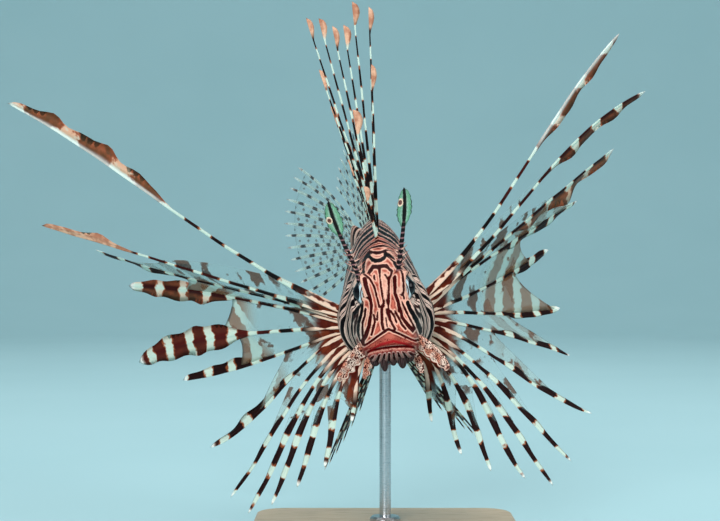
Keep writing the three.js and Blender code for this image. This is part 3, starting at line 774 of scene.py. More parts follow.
@dataclass(frozen=True)
class FlapFinish(Finish):
    """Fringed flaps: a maze of red brown on cream and salmon, with a red lower edge."""

    white: Colour = rgb(0.86, 0.62, 0.50)
    salmon: Colour = rgb(0.62, 0.22, 0.14)
    maze: Colour = rgb(0.07, 0.007, 0.005)
    red: Colour = rgb(0.45, 0.03, 0.012)
    maze_folds: float = 8.0

    def pattern(self, graph: Graph) -> dict[str, Value]:
        """The maze and the two stripes along the lower edge.

        Args:
            graph: The graph to build in.

        Returns:
            The results, by the shader's sockets.
        """
        edge = graph.attribute("edge")
        maze = graph.group("bands", phase=graph.noise(0.36, 1.5) * self.maze_folds, share=0.42, edge=0.12)
        ground = graph.mix(graph.group("mottle", per_mm=0.25, low=0.4, high=0.6), self.white, self.salmon)
        colour = graph.mix(graph.step(edge, 0.80, 0.86), graph.mix(maze, ground, self.maze), self.white)
        return {"Base Color": graph.mix(graph.step(edge, 0.90, 0.95), colour, self.red)}


@dataclass(frozen=True)
class WoodFinish(Finish):
    """Pale ash under satin lacquer, with its grain along the base."""

    pale: Colour = rgb(0.62, 0.47, 0.30)
    late: Colour = rgb(0.42, 0.28, 0.15)
    pore: Colour = rgb(0.25, 0.15, 0.07)

    def pattern(self, graph: Graph) -> dict[str, Value]:
        """The year rings and the pores, both drawn out along the grain.

        Args:
            graph: The graph to build in.

        Returns:
            The results, by the shader's sockets.
        """
        along = graph.place((0.12, 1.0, 1.0))
        inputs = {"Vector": along, "Scale": 0.075, "Distortion": 3.5, "Detail": 3.0, "Detail Scale": 0.6}
        rings = graph.result("Fac", "ShaderNodeTexWave", inputs, wave_type="BANDS", bands_direction="Y")
        pores = graph.noise(1.6, 2.0, graph.place((0.04, 1.0, 1.0)))
        tone = rings * 0.6 + graph.noise(0.05, 3.0, along) * 0.4
        colour = graph.mix(graph.step(pores, 0.56, 0.7), graph.mix(tone, self.pale, self.late), self.pore)
        return {"Base Color": colour, "Roughness": self.rough(pores, 0.2)}


@dataclass(frozen=True)
class SteelFinish(Finish):
    """Brushed steel, its scratches running round the rod."""

    dull: Colour = rgb(0.42, 0.43, 0.45)
    bright: Colour = rgb(0.66, 0.67, 0.69)

    def pattern(self, graph: Graph) -> dict[str, Value]:
        """The scratches, in the colour and in the roughness."""
        marks = graph.noise(1.2, 4.0, graph.place((0.15, 0.15, 4.0)))
        return {"Base Color": graph.mix(marks, self.dull, self.bright), "Roughness": self.rough(marks, 0.22)}


@dataclass(frozen=True)
class PaperFinish(Finish):
    """The matt, pale blue paint of the studio's floor."""

    deep: Colour = rgb(0.36, 0.58, 0.62)
    light: Colour = rgb(0.40, 0.62, 0.66)

    def pattern(self, graph: Graph) -> dict[str, Value]:
        """Clouds too faint and wide to be seen as such."""
        return {"Base Color": graph.mix(graph.noise(0.004, 2.0), self.deep, self.light)}


# The skin


@dataclass(frozen=True)
class Orbit:
    """The seat of one eye: a flattened ball on an axis that points out and a little forward.

    The skin round it is a mound, thicker than the ball by the wall and as high as the rim, with a
    roll on its edge.
    """

    s: float = 27.0
    out: float = 9.0
    height: float = 18.5
    radius: float = 7.6
    depth: float = 5.4
    axis: Triple = (1.0, -0.3, 0.12)
    wall: float = 1.5
    rim: float = 3.2
    roll_reach: float = 7.3
    roll_radius: float = 1.0
    clearance: float = 0.3
    mound_reach: float = 14.0
    mound_foot: float = -5.0

    def frame(self, side: int) -> tuple[Vector, Vector, Vector, Vector]:
        """How one eye stands.

        Args:
            side: 1 for the left eye or -1 for the right.

        Returns:
            Its centre, its axis, and the two directions across it, backwards and upwards.
        """
        axis = Vector((side * self.axis[0], self.axis[1], self.axis[2])).normalized()
        up = Vector((0, 0, 1))
        up = (up - axis * up.dot(axis)).normalized()
        back = axis.cross(up) * -side
        return Vector((side * self.out, self.s, self.height)), axis, back, up

    def near(self, p: Vector) -> Triple:
        """Where a point is about the nearer eye.

        Args:
            p: The point.

        Returns:
            Its distance from the eye's axis, its height along the axis and its turn about it.
        """
        centre, axis, back, up = self.frame(1 if p.x > 0 else -1)
        away = p - centre
        height = away.dot(axis)
        flat = away - axis * height
        return flat.length, height, math.atan2(flat.dot(up), flat.dot(back))

    def limit(self, reach: float) -> float:
        """How far out the skin may stand at a distance from the axis.

        Args:
            reach: The distance.

        Returns:
            A height under the ball, or beyond it one that rises slowly from the rim.
        """
        if reach <= self.radius - 0.7:
            return self.depth * dome(reach / self.radius) - 0.8
        return self.rim + 0.7 + 0.75 * max(reach - self.radius - 0.6, 0)

    def within(self, reach: float, height: float, grown: float) -> bool:
        """Whether a place is within the ball when that is grown by some millimetres."""
        return (reach / (self.radius + grown)) ** 2 + (height / (self.depth + grown)) ** 2 < 1

    def in_ball(self, p: Vector) -> bool:
        """Whether a point is within the eyeball or its clearance."""
        reach, height, _ = self.near(p)
        return self.within(reach, height, self.clearance)

    def in_mound(self, p: Vector) -> bool:
        """Whether a point is within the mound or the roll of skin on its edge.

        Args:
            p: The point.

        Returns:
            True within either.
        """
        reach, height, _ = self.near(p)
        if math.hypot(reach - self.roll_reach, height - self.rim) < self.roll_radius:
            return True
        return self.within(reach, height, self.wall) and -4 < height < self.rim


@dataclass(frozen=True)
class Stroke:
    """A dark line on the head, by the x and z of its bends, from wine red at shade 0 to black."""

    half: float
    shade: float
    bends: tuple[tuple[float, float], ...]

    def gap(self, x: float, z: float) -> float:
        """How far a point is from the line's edge, as seen from the front.

        Args:
            x: Distance to the fish's left.
            z: Height.

        Returns:
            The distance, negative within the line.
        """
        best = 9.0
        for (ax, az), (bx, bz) in zip(self.bends, self.bends[1:]):
            dx, dz = bx - ax, bz - az
            t = clamp(((x - ax) * dx + (z - az) * dz) / (dx * dx + dz * dz))
            best = min(best, math.hypot(x - ax - t * dx, z - az - t * dz))
        return best - self.half


@dataclass(frozen=True)
class Bars:
    """Broad bars a gap apart from start on, with a thin bar half way between two."""

    start: float
    gap: float
    half: float
    thin_half: float
    shade: float
    thin_shade: float = 0.6

    def near(self, at: float) -> list[tuple[float, float]]:
        """How far a place is from the bars.

        Args:
            at: The place across the bars.

        Returns:
            The distance to the nearest broad bar and to the nearest thin one, with their shades.
        """
        at = (at - self.start) / self.gap
        return [
            (abs(at - round(at)) * self.gap - self.half, self.shade),
            (abs(at - math.floor(at) - 0.5) * self.gap - self.thin_half, self.thin_shade),
        ]


SNOUT_STROKES = (
    Stroke(0.55, 0.1, (
        (-1.2, 28.2), (-1.1, 25.5), (-1.2, 21.5), (-0.8, 15), (-2.2, 13.3), (-2.9, 7.2), (-2.6, 5.2),
    )),
    Stroke(0.42, 0, ((4.8, 26.9), (4, 25.1), (2.6, 23.2), (1.7, 16.3), (0.8, 13.3), (1.3, 7.8), (3, 4.6))),
    Stroke(0.35, 0, ((-8, 25.1), (-5.8, 23), (-4.5, 20.7), (-3.6, 15.5), (-3.4, 13.4))),
    Stroke(0.28, 0, ((-4.1, 26), (-4.1, 23.7))),
    Stroke(0.28, 0, ((1.7, 26), (2.2, 24.2))),
    Stroke(0.65, 0, (
        (-7.8, 22.9), (-7.7, 20.3), (-7, 15.1), (-7.3, 12.5), (-9.2, 6.2), (-12.4, -0.2), (-13.6, -3.7),
    )),
    Stroke(0.6, 0, ((5.3, 23.1), (5, 18.3), (6, 14.8), (6, 12.8), (7.3, 7.9), (8.9, 5.5), (11.7, 1.8))),
    Stroke(0.3, 0.2, ((8, 14.5), (10, 8.6), (11.3, 5.6), (12.8, 1.7))),
    Stroke(0.4, 0, ((-6.2, 10.4), (-6.2, 7.8), (-7.5, 5.2), (-8.4, 2.8))),
    Stroke(0.3, 0, ((-4.5, 11.4), (-5, 8.6))),
    Stroke(0.25, 0, ((0, 12.1), (-0.7, 8.3), (-0.6, 6))),
    Stroke(0.33, 0, ((1.8, 11.7), (3.4, 9.2), (4, 7.1))),
    Stroke(0.36, 0, ((4, 10.9), (5.5, 8.2), (6.6, 5.6), (8, 3.9))),
    Stroke(0.2, 0.3, ((7.9, 26.5), (8.3, 22.8), (8.5, 19.5), (9.2, 15.5))),
    Stroke(0.2, 0.3, ((-9.7, 24.6), (-9.9, 21), (-9.9, 17.5))),
)
CHEEK_STROKES = (
    Stroke(0.8, 1, ((10.5, 13.5), (11.4, 10.6), (12.9, 7.6), (14.2, 3.9), (16, -3.9))),
    Stroke(0.4, 0.7, ((12.6, 13.9), (14.1, 10.4), (14.5, 8.2), (16.8, 3), (19.1, -7.2))),
    Stroke(0.7, 1, ((-13.3, 15.6), (-14.5, 12.8), (-16.5, 8.4), (-18.5, 4.2))),
    Stroke(0.32, 0.6, ((-13.6, 12.9), (-14.3, 9.4), (-15.7, 4.7), (-16.4, 0.5), (-17.1, -3.7))),
    Stroke(0.5, 1, ((-11.3, 15.5), (-11.9, 12.3), (-14.1, 6.1), (-14.7, 2.7), (-14.8, -0.5), (-13.8, -2.6))),
    Stroke(0.32, 0.5, ((-9.9, 13), (-10.9, 9.8), (-12.2, 6.8), (-12.8, 1))),
    Stroke(0.3, 0.5, ((-15.4, 9), (-17.2, 4), (-18.6, -3.2), (-19, -8))),
    Stroke(0.3, 0.5, ((15.6, 9.8), (17.8, 5), (19.6, -1), (20.6, -8))),
)
BROW_STROKES = (
    Stroke(0.5, 0.4, ((-7.2, 26.2), (-6, 27.6), (-4.2, 29), (-1, 29.1), (2.5, 29), (3.9, 27.5), (4.8, 26.9))),
    Stroke(0.55, 1, (
        (-5.7, 32.3), (-5.5, 32), (-4.4, 31.3), (-2.6, 31.1), (0, 31.3), (2.1, 31.9), (2.7, 33),
    )),
    Stroke(0.4, 0.9, ((-5.9, 32), (-7.2, 31), (-8.3, 29.3), (-9.2, 26.6))),
    Stroke(0.42, 0.9, ((2.9, 32.8), (4.6, 31.6), (6.3, 30), (7.4, 27.6))),
    Stroke(0.22, 0.3, ((-5.6, 32.8), (-3.7, 33.5), (-1.5, 33.6), (1.2, 33.9), (2.9, 33.8))),
)
LIP_STROKE = Stroke(0.35, 0, (
    (-11.1, -5.8), (-7.8, -3.5), (-4.5, -1.6), (-1.3, -1), (1.8, -0.6), (6.4, -2.5), (10.9, -5.5),
))


@dataclass
class Skin:
    """The whole skin of the fish from the lips to the root of the tail, in one piece."""

    nodes: tuple[str, ...] = (
        "head", "lower_jaw", "trunk_front", "trunk_rear", "tail_stalk", "gill_cover_right", "gill_cover_left",
    )
    columns: int = 224
    nose_rings: int = 38
    head_rings: int = 106
    rear_rings: int = 76
    head_step: float = 0.62
    rear_end: float = 222.5
    end_rings: Triple = (223.4, 223.9, 224.0)
    orbit: Orbit = Orbit()
    mouth_front: float = -3.6
    mouth_slope: float = -0.6
    corner: float = 14.0
    gill_s: float = 57.0
    gill_z: float = -3.0
    gill_long: float = 14.0
    gill_tall: float = 20.0
    arcs: tuple[Triple, ...] = (
        (44.2, 0.7, 0.6), (50.0, 1.1, 0.4), (56.0, 1.6, 0.3),
        (64.5, 2.2, 0.9), (73.0, 3.2, 1.0), (82.5, 3.4, 1.0),
    )
    nape: float = 24.0
    nape_lean: float = 16.0
    flank_bars: Bars = Bars(40.1, 10.6, 2.3, 0.4, 0.8)
    cheek_bars: Bars = Bars(31.0, 7.4, 1.45, 0.3, 1.0)
    cheek_lean: float = 0.55
    eye_ticks: int = 19
    lobe_folds: int = 7
    lobes: tuple[tuple[float, ...], ...] = (
        (-3.8, 3.6, -11.8, 1.9, 1.9, 4.4), (4.9, 3.6, -11.6, 2.2, 2.0, 4.0), (0.6, 4.2, -11.2, 1.9, 1.8, 2.7),
        (-8.0, 6.0, -11.2, 2.4, 2.0, 2.6), (8.8, 6.0, -11.0, 2.2, 2.0, 2.4),
    )

    def stations(self) -> list[float]:
        """The distances from the snout at which the skin has a ring.

        Returns:
            The distances, closest where the snout rounds off.
        """
        cap = BODY.nose_cap
        nose = [cap * (1 - math.cos(math.pi / 2 * k / self.nose_rings)) for k in range(self.nose_rings)]
        head = [cap + self.head_step * k for k in range(self.head_rings)]
        step = (self.rear_end - head[-1]) / self.rear_rings
        rear = [head[-1] + step * (k + 1) for k in range(self.rear_rings)]
        return [*nose, *head, *rear, *self.end_rings]

    def mouth(self, s: float) -> float:
        """The height of the line of the mouth."""
        return self.mouth_front + self.mouth_slope * min(s, self.corner)

    def chin_fan(self, x: float, z: float) -> float:
        """The phase of the wrinkles that spread downwards from the mouth."""
        return 2 * math.pi * math.atan2(x, 7 - z) / 0.155

    def lip_border(self, x: float, z: float) -> float:
        """The height above the upper edge of the lip, a tent that falls to both corners."""
        off = abs(x + 0.3)
        return z - (4.9 - 0.42 * off - 0.018 * off * off)

    def gill_cover(self, side: float, s: float, z: float) -> float:
        """How far the gill cover stands out, a disc with a groove behind it and a ridge on it.

        Args:
            side: Distance from the middle.
            s: Distance from the snout.
            z: Height.

        Returns:
            The rise.
        """
        if s <= 30:
            return 0.0
        across = (z - self.gill_z) / self.gill_tall
        along = (s - self.gill_s - 0.2 * (z - self.gill_z)) / self.gill_long
        reach = math.hypot(along, across)
        lobed = reach / (1 + 0.14 * bell(math.atan2(across, along), 0.25, 0.4))
        rise = 1.7 * smooth(lobed, 1.02, 0.93 if s > self.gill_s else 0.7)
        rise -= 0.5 * bell(lobed, 1.07, 0.035) * smooth(s, 55, 62)
        rise += 0.5 * bell(reach, 0.62, 0.05) * smooth(s, 62, 50)
        return rise * smooth(side, 9, 13)

    def relief(self, p: Vector) -> float:
        """How far the skin stands out from the plain body, along its normal.

        Args:
            p: A point on the plain body.

        Returns:
            The rise of lips, gill cover, brow ridges, nostrils, chin wrinkles and bumps together.
        """
        x, s, z = p
        side, off = abs(x), z - self.mouth(s)
        border = self.lip_border(x, z)
        lips = 1.1 * bell(off, 2.4, 1.5) + bell(off, -2.3, 1.5) - 1.7 * bell(off, 0, 0.55)
        lips += 0.35 * bell(border, 1.6, 1.2) - 0.55 * bell(border, 0, 0.6)
        rise = lips * (1 - smooth(s, self.corner - 3, self.corner + 3)) + self.gill_cover(side, s, z)
        ridge = smooth(s, 33, 26) * smooth(s, 8, 12) * smooth(side, 11, 8) * smooth(z, 4, 10)
        rise += 0.35 * ridge * math.cos(2 * math.pi * x / 3.4)
        if z > 5:
            nostril = math.hypot(side - 5.5, (s - 11) * 1.3)
            rise += 0.7 * bell(nostril, 1.7, 0.6) - 1.3 * bell(nostril, 0, 0.9)
        rise += 0.5 * smooth(off, -1.5, -4.0) * smooth(s, 24, 12) * math.cos(self.chin_fan(x, z))
        return rise + 0.25 * noise.noise(Vector(p) * 0.25) * smooth(s, 4, 20)

    @staticmethod
    def way_out(p: Vector, way: Vector, inside: Callable[[Vector], bool]) -> float:
        """How far a point goes along a way before it is out of a solid for good.

        Args:
            p: The point.
            way: The way it goes.
            inside: Tells whether a point is in the solid.

        Returns:
            The distance, 0 where the solid isn't met.
        """
        stride, strides, halvings = 0.25, 28, 4
        for k in range(strides, -1, -1):
            if inside(p + way * (stride * k)):
                low, high = stride * k, stride * (k + 1)
                for _ in range(halvings):
                    middle = (low + high) / 2
                    low, high = (middle, high) if inside(p + way * middle) else (low, middle)
                return high
        return 0.0

    def seat(self, p: Vector, normal: Vector) -> tuple[Vector, bool]:
        """Fits the skin round an eye.

        Args:
            p: A point on the skin.
            normal: The way the skin faces there.

        Returns:
            The point on the mound round the eye, or one out of sight under the eyeball, and
            whether it is out of sight.
        """
        orbit = self.orbit
        reach, height, _ = orbit.near(p)
        if reach > orbit.mound_reach or height < orbit.mound_foot:
            return p, False
        if height > 0:
            drop = max(height - orbit.limit(reach), 0)
            axis = orbit.frame(1 if p.x > 0 else -1)[1]
            p = p - axis * (drop * (smooth(drop, 0, 0.8) if reach > orbit.radius else 1))
        skin, ball = self.way_out(p, normal, orbit.in_mound), self.way_out(p, normal, orbit.in_ball)
        hidden = ball > skin
        return p + normal * (ball - 1.0 if hidden else skin), hidden

    def ink(self, p: Vector) -> tuple[float, float]:
        """The nearest dark marking.

        Args:
            p: A point on the plain skin.

        Returns:
            Its distance in millimetres, negative inside it, and its shade.
        """
        x, s, z = p
        side, lip = abs(x), self.lip_border(x, z)
        found = [(3.0, 0.0)]
        strokes = BROW_STROKES if z > 26 and s < 56 else ()
        if s < 40 and lip > 0.2 and z > -6:
            strokes += SNOUT_STROKES
        if s < 27 and side > 8:
            strokes += CHEEK_STROKES
        found += [(stroke.gap(x, z), stroke.shade) for stroke in strokes]
        if s < self.corner:
            found.append((abs(lip) - 0.45, 0.1))
        back = s - self.nape_lean * (smooth(side, 0, 11) if z > self.nape else 1)
        if z > self.nape:
            found += [(abs(back - at) - half, shade) for at, half, shade in self.arcs]
        if back > 88 or (z <= self.nape and s > 72):
            found += self.flank_bars.near(back)
        if 27 <= s < 76 and z < 26 and side > 9:
            found += self.cheek_bars.near(s + self.cheek_lean * max(z, 0))
        reach, height, turn = self.orbit.near(p)
        if height > 0 and reach < 12:
            found.append((0.55 + 1.5 * smooth(reach, 8.6, 10.5), 0.5))
            tick = turn / (2 * math.pi) * self.eye_ticks
            found.append((max(abs(tick - round(tick)) * reach * 0.33 - 0.2, 8.3 - reach, reach - 9.3), 0.3))
        return min(found)

    def values(self, p: Vector) -> Values:
        """The markings of the skin.

        Args:
            p: A point on the plain skin.

        Returns:
            The distance to the nearest line, the ground's tone, the line's shade, how red the skin is and how
            much painted shade it has below the mouth.
        """
        x, s, z = p
        off = z - self.mouth(s)
        front = smooth(s, self.corner + 2, self.corner - 4)
        chin = smooth(off, -0.6, -2.4) * smooth(s, 30, 14)
        ink, shade = self.ink(p)
        ink = min(ink, 3 - 3.2 * chin * smooth(math.cos(self.chin_fan(x, z)), 1.0, -0.2))
        mouth_gap = abs(off) - 0.4
        if front > 0.5 and mouth_gap < ink:
            ink, shade = mouth_gap, 0.3
        red_line = 0.8 * smooth(LIP_STROKE.gap(x, z), 0.45, 0.0)
        red_lips = 0.3 * smooth(off, 6.0, 2.0) * smooth(off, -3.4, -1.0)
        return {
            "ink": ink,
            "tone": clamp(0.9 * smooth(abs(x), 10, 15) + 0.6 * smooth(s, 56, 70) + chin),
            "shade": clamp(max(shade, 0.5 * chin)),
            "red": clamp(front * (red_line + red_lips)),
            # painted shade: darker below the mouth towards the chin, which faces down
            "dim": smooth(off, -3.5, -7.0) * smooth(s, 34, 16),
        }

    def add_lobes(self, form: Form) -> None:
        """Hangs the fleshy lobes from the chin.

        Args:
            form: The mesh to add them to.
        """
        for x, s, z, *sizes in self.lobes:
            place = Matrix.Translation((x, s, z)) @ Matrix.Diagonal((*sizes, 1))
            made = bmesh.ops.create_uvsphere(form.mesh, u_segments=28, v_segments=18, radius=1, matrix=place)
            for vert in made["verts"]:
                fold = math.cos(math.atan2(vert.co.x - x, s - vert.co.y) * self.lobe_folds)
                swell = 1 + 0.07 * fold
                vert.co.x = x + (vert.co.x - x) * swell
                vert.co.y = s + (vert.co.y - s) * swell
                # painted shade: the lobes under the chin are painted almost wholly shaded
                form.mark(vert, {"ink": 0.5 + 0.8 * fold, "tone": 1.0, "shade": 0.7, "dim": 0.93})

    def build(self, material: bpy.types.Material) -> None:
        """Builds the skin and puts it in the scene.

        Args:
            material: Its finish.
        """
        form = Form(*SKIN_VALUES)
        stations = self.stations()
        count, closed = len(stations) - 1, len(self.end_rings)
        shares = [dome(max(1 - (count - k) / closed, 0)) for k in range(count + 1)]
        rings = [BODY.ring(s).drawn_in(share) for s, share in zip(stations, shares)]
        ball = bmesh.ops.create_uvsphere(form.mesh, u_segments=self.columns, v_segments=count, radius=1)
        for vert in ball["verts"]:
            level = round(math.acos(clamp(vert.co.z, -1, 1)) / math.pi * count)
            vert.co = BODY.point(rings[level], math.atan2(vert.co.x, vert.co.y))
        form.face_outwards()
        around_eyes = []
        for vert in ball["verts"]:
            plain = vert.co.copy()
            form.mark(vert, self.values(plain))
            raised = plain + vert.normal * self.relief(plain) * smooth(plain.y, 222, 200)
            vert.co = raised
            if plain.y < 45:
                vert.co, hidden = self.seat(raised, vert.normal)
                if not hidden and 6 < self.orbit.near(vert.co)[0] < 12:
                    around_eyes.append(vert)
        for _ in range(2):
            bmesh.ops.smooth_vert(form.mesh, verts=around_eyes, factor=0.4)
        self.add_lobes(form)
        for vert in form.mesh.verts:
            vert.co = CARRIAGE.bent(*vert.co)
        form.finish("skin", material, self.nodes)


@dataclass
class Eyes:
    """The two glass eyes, each a flattened ball in its orbit, its front bulging at the pupil."""

    orbit: Orbit = Orbit()
    bulge: float = 0.18

    def build(self, material: bpy.types.Material) -> None:
        """Builds both eyes.

        Args:
            material: Their finish.
        """
        radius = self.orbit.radius
        for name, side in SIDES.items():
            form = Form("out", "across")
            centre, axis, back, up = self.orbit.frame(side)
            for vert in bmesh.ops.create_uvsphere(form.mesh, u_segments=48, v_segments=32, radius=1)["verts"]:
                x, y, z = vert.co
                reach = math.hypot(x, y)
                depth = self.orbit.depth * (1 + self.bulge * smooth(reach, 0.55, 0.2) * (z > 0))
                form.mark(vert, {"out": reach * radius if z > 0 else radius, "across": x * radius})
                vert.co = centre + (back * x + up * y) * radius + axis * z * depth
            form.finish(f"eye_ball_{name}", material, (f"eye_{name}",))


# Fins


@dataclass(frozen=True)
class Bow:
    """A curve from root to tip that bows sideways, by early before its middle and late after."""

    root: Vector
    tip: Vector
    sideways: Vector
    late: float
    early: float = 0.0

    def __call__(self, t: float) -> Vector:
        """The point at a share of the way."""
        rise = 6.75 * t * (1 - t) * (self.late * t + self.early * (1 - t))
        return self.root.lerp(self.tip, t) + self.sideways * rise


@dataclass(frozen=True)
class MiddleLine:
    """A straight line in the fish's middle plane, bent as its backbone is."""

    s: float
    z: float
    length: float
    lean: float

    def __call__(self, t: float) -> Vector:
        """The point at a share of the way."""
        reach = self.length * t
        return CARRIAGE.bent(0, self.s + reach * math.cos(self.lean), self.z + reach * math.sin(self.lean))


@dataclass(frozen=True)
class Taper:
    """A measure that falls evenly to its value at a ray's tip.

    It may swell at the root. It may also widen into a vane, which opens at start, is widest at
    peak and has an edge with scallops.
    """

    tip: float
    fall: float = 0.0
    swell: float = 0.0
    vane: float = 0.0
    start: float = 0.0
    peak: float = 0.5
    scallop: float = 0.0
    turns: float = 0.0

    def __call__(self, t: float) -> float:
        """The measure at a share of the ray's length."""
        vane = flag(self.vane, self.start, self.peak, t) * (1 + self.scallop * math.sin(t * self.turns))
        return self.tip + self.fall * (1 - t) + self.swell * smooth(t, 0.24, 0.04) + vane


@dataclass
class Ray:
    """One fin ray: its curve from root to tip, its half widths and thickness, its paint and web.

    Its bands are a period apart, slow times as far beyond slow_from, and dark for a share of it.
    The web reaches a share of its length and trails further at the next ray. Cloth is how banded
    the web is, and beyond bloom_from the ray is blotched. Faces are the ways its vanes point at
    the root and at the tip, across the fin where none are given.
    """

    path: Path
    length: float
    before: Measure
    after: Measure
    thick: Measure
    period: float = 17.0
    share: float = 0.58
    shift: float = 0.0
    red: float = 0.2
    tan: float = 0.0
    web: float = 0.0
    trail: float = 0.1
    slow: float = 1.0
    slow_from: float = 1.0
    cloth: float = 0.0
    bloom_from: float = 2.0
    faces: tuple[Vector, Vector] | None = None

    def phase(self, t: float) -> float:
        """How many bands there are up to a share of the length, fewer beyond slow_from."""
        quick = min(t, self.slow_from)
        return (quick + (t - quick) / self.slow) * self.length / self.period + self.shift


@dataclass
class WebbedFin:
    """A fin of rays with a thin web between neighbours, all in one mesh."""

    rays: list[Ray]
    flesh: float = 0.0
    root_thick: float = 0.0
    ray_steps: int = 56
    ray_columns: int = 8
    web_steps: int = 30
    web_columns: int = 7
    web_half: float = 0.12
    web_sag: float = 0.06
    web_end: float = 0.97
    ripple: float = 0.0
    ripple_length: float = 5.2
    oval_length: float = 24.0
    spot_gap: float = 6.5

    def axes(self, i: int, t: float) -> tuple[Vector, Vector]:
        """How the fin lies at a ray.

        Args:
            i: The ray.
            t: The share of its length.

        Returns:
            The direction across the fin, towards the next ray, and the fin's normal.
        """
        ray = self.rays[i]
        tangent = (ray.path(min(t + 0.02, 1)) - ray.path(max(t - 0.02, 0))).normalized()
        if ray.faces:
            side = ray.faces[0].lerp(ray.faces[1], smooth(t, 0.3, 0.75))
        else:
            nearby, last = min(t, 0.9), len(self.rays) - 1
            side = self.rays[min(i + 1, last)].path(nearby) - self.rays[max(i - 1, 0)].path(nearby)
        side = (side - tangent * side.dot(tangent)).normalized()
        return side, tangent.cross(side).normalized()

    def oval(self, i: int, t: float, away: float) -> float:
        """How far within the pale ovals on a ray's foot a point beside it is, negative outside."""
        pinch = 0.5 + 0.5 * math.cos(2 * math.pi * (t * self.rays[i].length / self.oval_length + 0.37 * i))
        return 0.9 - away / 1.1 - 0.9 * pinch**6

    def values(self, i: int, t: float, **more: float) -> Values:
        """The named values of a point on a ray.

        Args:
            i: The ray.
            t: The share of its length.
            more: Values to add, or to take in place of the ray's own.

        Returns:
            The values by name.
        """
        ray = self.rays[i]
        fleshy = smooth(t * ray.length, self.flesh, self.flesh * 0.6) if self.flesh else 0.0
        own = {
            "phase": ray.phase(t), "share": ray.share, "red": ray.red * smooth(t, 0.3, 0.42), "flesh": fleshy,
            "spot": 1.0, "tan": ray.tan, "tip": smooth((1 - t) * ray.length, 4.0, 2.2),
            "bloom": smooth(t, ray.bloom_from, ray.bloom_from + 0.02),
        }
        return own | more

    def add_ray(self, form: Form, i: int) -> None:
        """Adds the shaft of a ray with its vanes.

        Args:
            form: The mesh to add it to.
            i: The ray.
        """
        ray = self.rays[i]

        def place(around: float, t: float) -> tuple[Vector, Values]:
            """Places a point of the ray.

            Args:
                around: The share around it.
                t: The share along it.

            Returns:
                The point and its values.
            """
            column, face = folded(around, self.ray_columns)
            close, thick = closing(t, 0.97), ray.thick(t)
            shaft = min(ray.before(t), ray.after(t), thick + 0.4)
            before, after = max(ray.before(t), shaft + 0.06), max(ray.after(t), shaft + 0.06)
            steps = (
                -before, -shaft - 0.3 * (before - shaft), -shaft, -0.6 * shaft, 0,
                0.6 * shaft, shaft, shaft + 0.3 * (after - shaft), after,
            )
            q = steps[column] * close
            edge = column in (0, self.ray_columns)
            height = 0.0 if edge else max(thick * dome(q / max(shaft, 0.01)), 0.13) * close
            side, normal = self.axes(i, t)
            wave = self.ripple * abs(q) / 6 * math.sin(t * ray.length / self.ripple_length + i)
            point = ray.path(t) + side * q + normal * (wave + face * height)
            vane = smooth(abs(q), shaft, shaft + 1.5)
            values = self.values(i, t, vane=vane, ink=self.oval(i, t, abs(q)))
            if ray.slow > 1:
                pale = 0.75 * (1 - vane) * smooth(t, ray.slow_from, ray.slow_from + 0.1)
                values["tip"] = max(values["tip"], pale)
            return point, values

        form.loft(2 * self.ray_columns, self.ray_steps, place)

    def add_web(self, form: Form, i: int) -> None:
        """Adds the web between a ray and the next.

        Args:
            form: The mesh to add it to.
            i: The ray.
        """
        first, second = self.rays[i], self.rays[i + 1]

        def place(around: float, along: float) -> tuple[Vector, Values]:
            """Places a point of the web.

            Args:
                around: The share around it, over its front face and back over the rear one.
                along: The share of the way to its free edge.

            Returns:
                The point and its values.
            """
            column, face = folded(around, self.web_columns)
            v = column / self.web_columns
            end = first.web + first.trail * v**1.8 * min(1.0, (1 - first.web) / 0.45)
            t = along * min(end, self.web_end)
            inside = 0 < v < 1 and 0 < along < 1
            half = (self.web_half + self.root_thick * smooth(t, 0.25, 0)) * inside
            across = self.axes(i, t)[1].lerp(self.axes(i + 1, t)[1], v).normalized()
            gap = (first.path(t) - second.path(t)).length
            sag = self.web_sag * gap * math.sin(math.pi * v) * math.sin(math.pi * min(along * 1.3, 1))
            point = first.path(t).lerp(second.path(t), v) + across * (sag + face * half)
            nearest = i if v < 0.5 else i + 1
            row = (t * first.length / self.spot_gap + 0.5 * (i % 2)) % 1 * self.spot_gap
            return point, self.values(
                nearest, t, web=1.0, vane=1.0, spot=math.hypot((v - 0.5) * gap, row - 3.2) - 1.3,
                phase=first.phase(t) * (1 - v) + second.phase(t) * v, share=first.share,
                cloth=first.cloth * smooth(t, 0.38, 0.48), ink=self.oval(nearest, t, min(v, 1 - v) * gap),
            )

        form.loft(2 * self.web_columns, self.web_steps, place)

    def build(self, node: str, material: bpy.types.Material) -> None:
        """Builds the fin.

        Args:
            node: The node that it replaces.
            material: Its finish.
        """
        form = Form(*FIN_VALUES)
        for i, ray in enumerate(self.rays):
            self.add_ray(form, i)
            if i < len(self.rays) - 1 and ray.web > 0:
                self.add_web(form, i)
        form.finish(f"{node}_dressed", material, (node,))


class Look(Enum):
    """How a pectoral ray and its vane are painted: the red of its bands and the tan of its vane."""

    PLAIN = (0.12, 0.0)
    OLIVE = (0.3, 0.5)
    WINE = (0.85, 0.15)
    MAROON = (0.6, 0.8)
    ORANGE = (0.4, 0.6)
    TAN = (0.15, 1.0)


@dataclass(frozen=True)
class PectoralRow:
    """One pectoral ray: the way it points, its size, its vanes, its bands and how its web is banded."""

    lift: float
    sweep: float
    length: float
    early: float
    late: float
    above: float
    below: float
    start: float
    web: float
    period: float = 17.0
    share: float = 0.58
    look: Look = Look.PLAIN
    shift: float = 0.0
    cloth: float = 0.0
    slow: float = 1.0
    trail: float = 0.4
    bloom: float = 2.0

    def vane(self, width: float) -> Taper:
        """The half width of the ray on one side, with a gently scalloped vane."""
        peak = self.start + 0.4 * (1 - self.start)
        return Taper(0.35, 0.85, 0, width, self.start, peak, 0.12, self.length / 2.9)


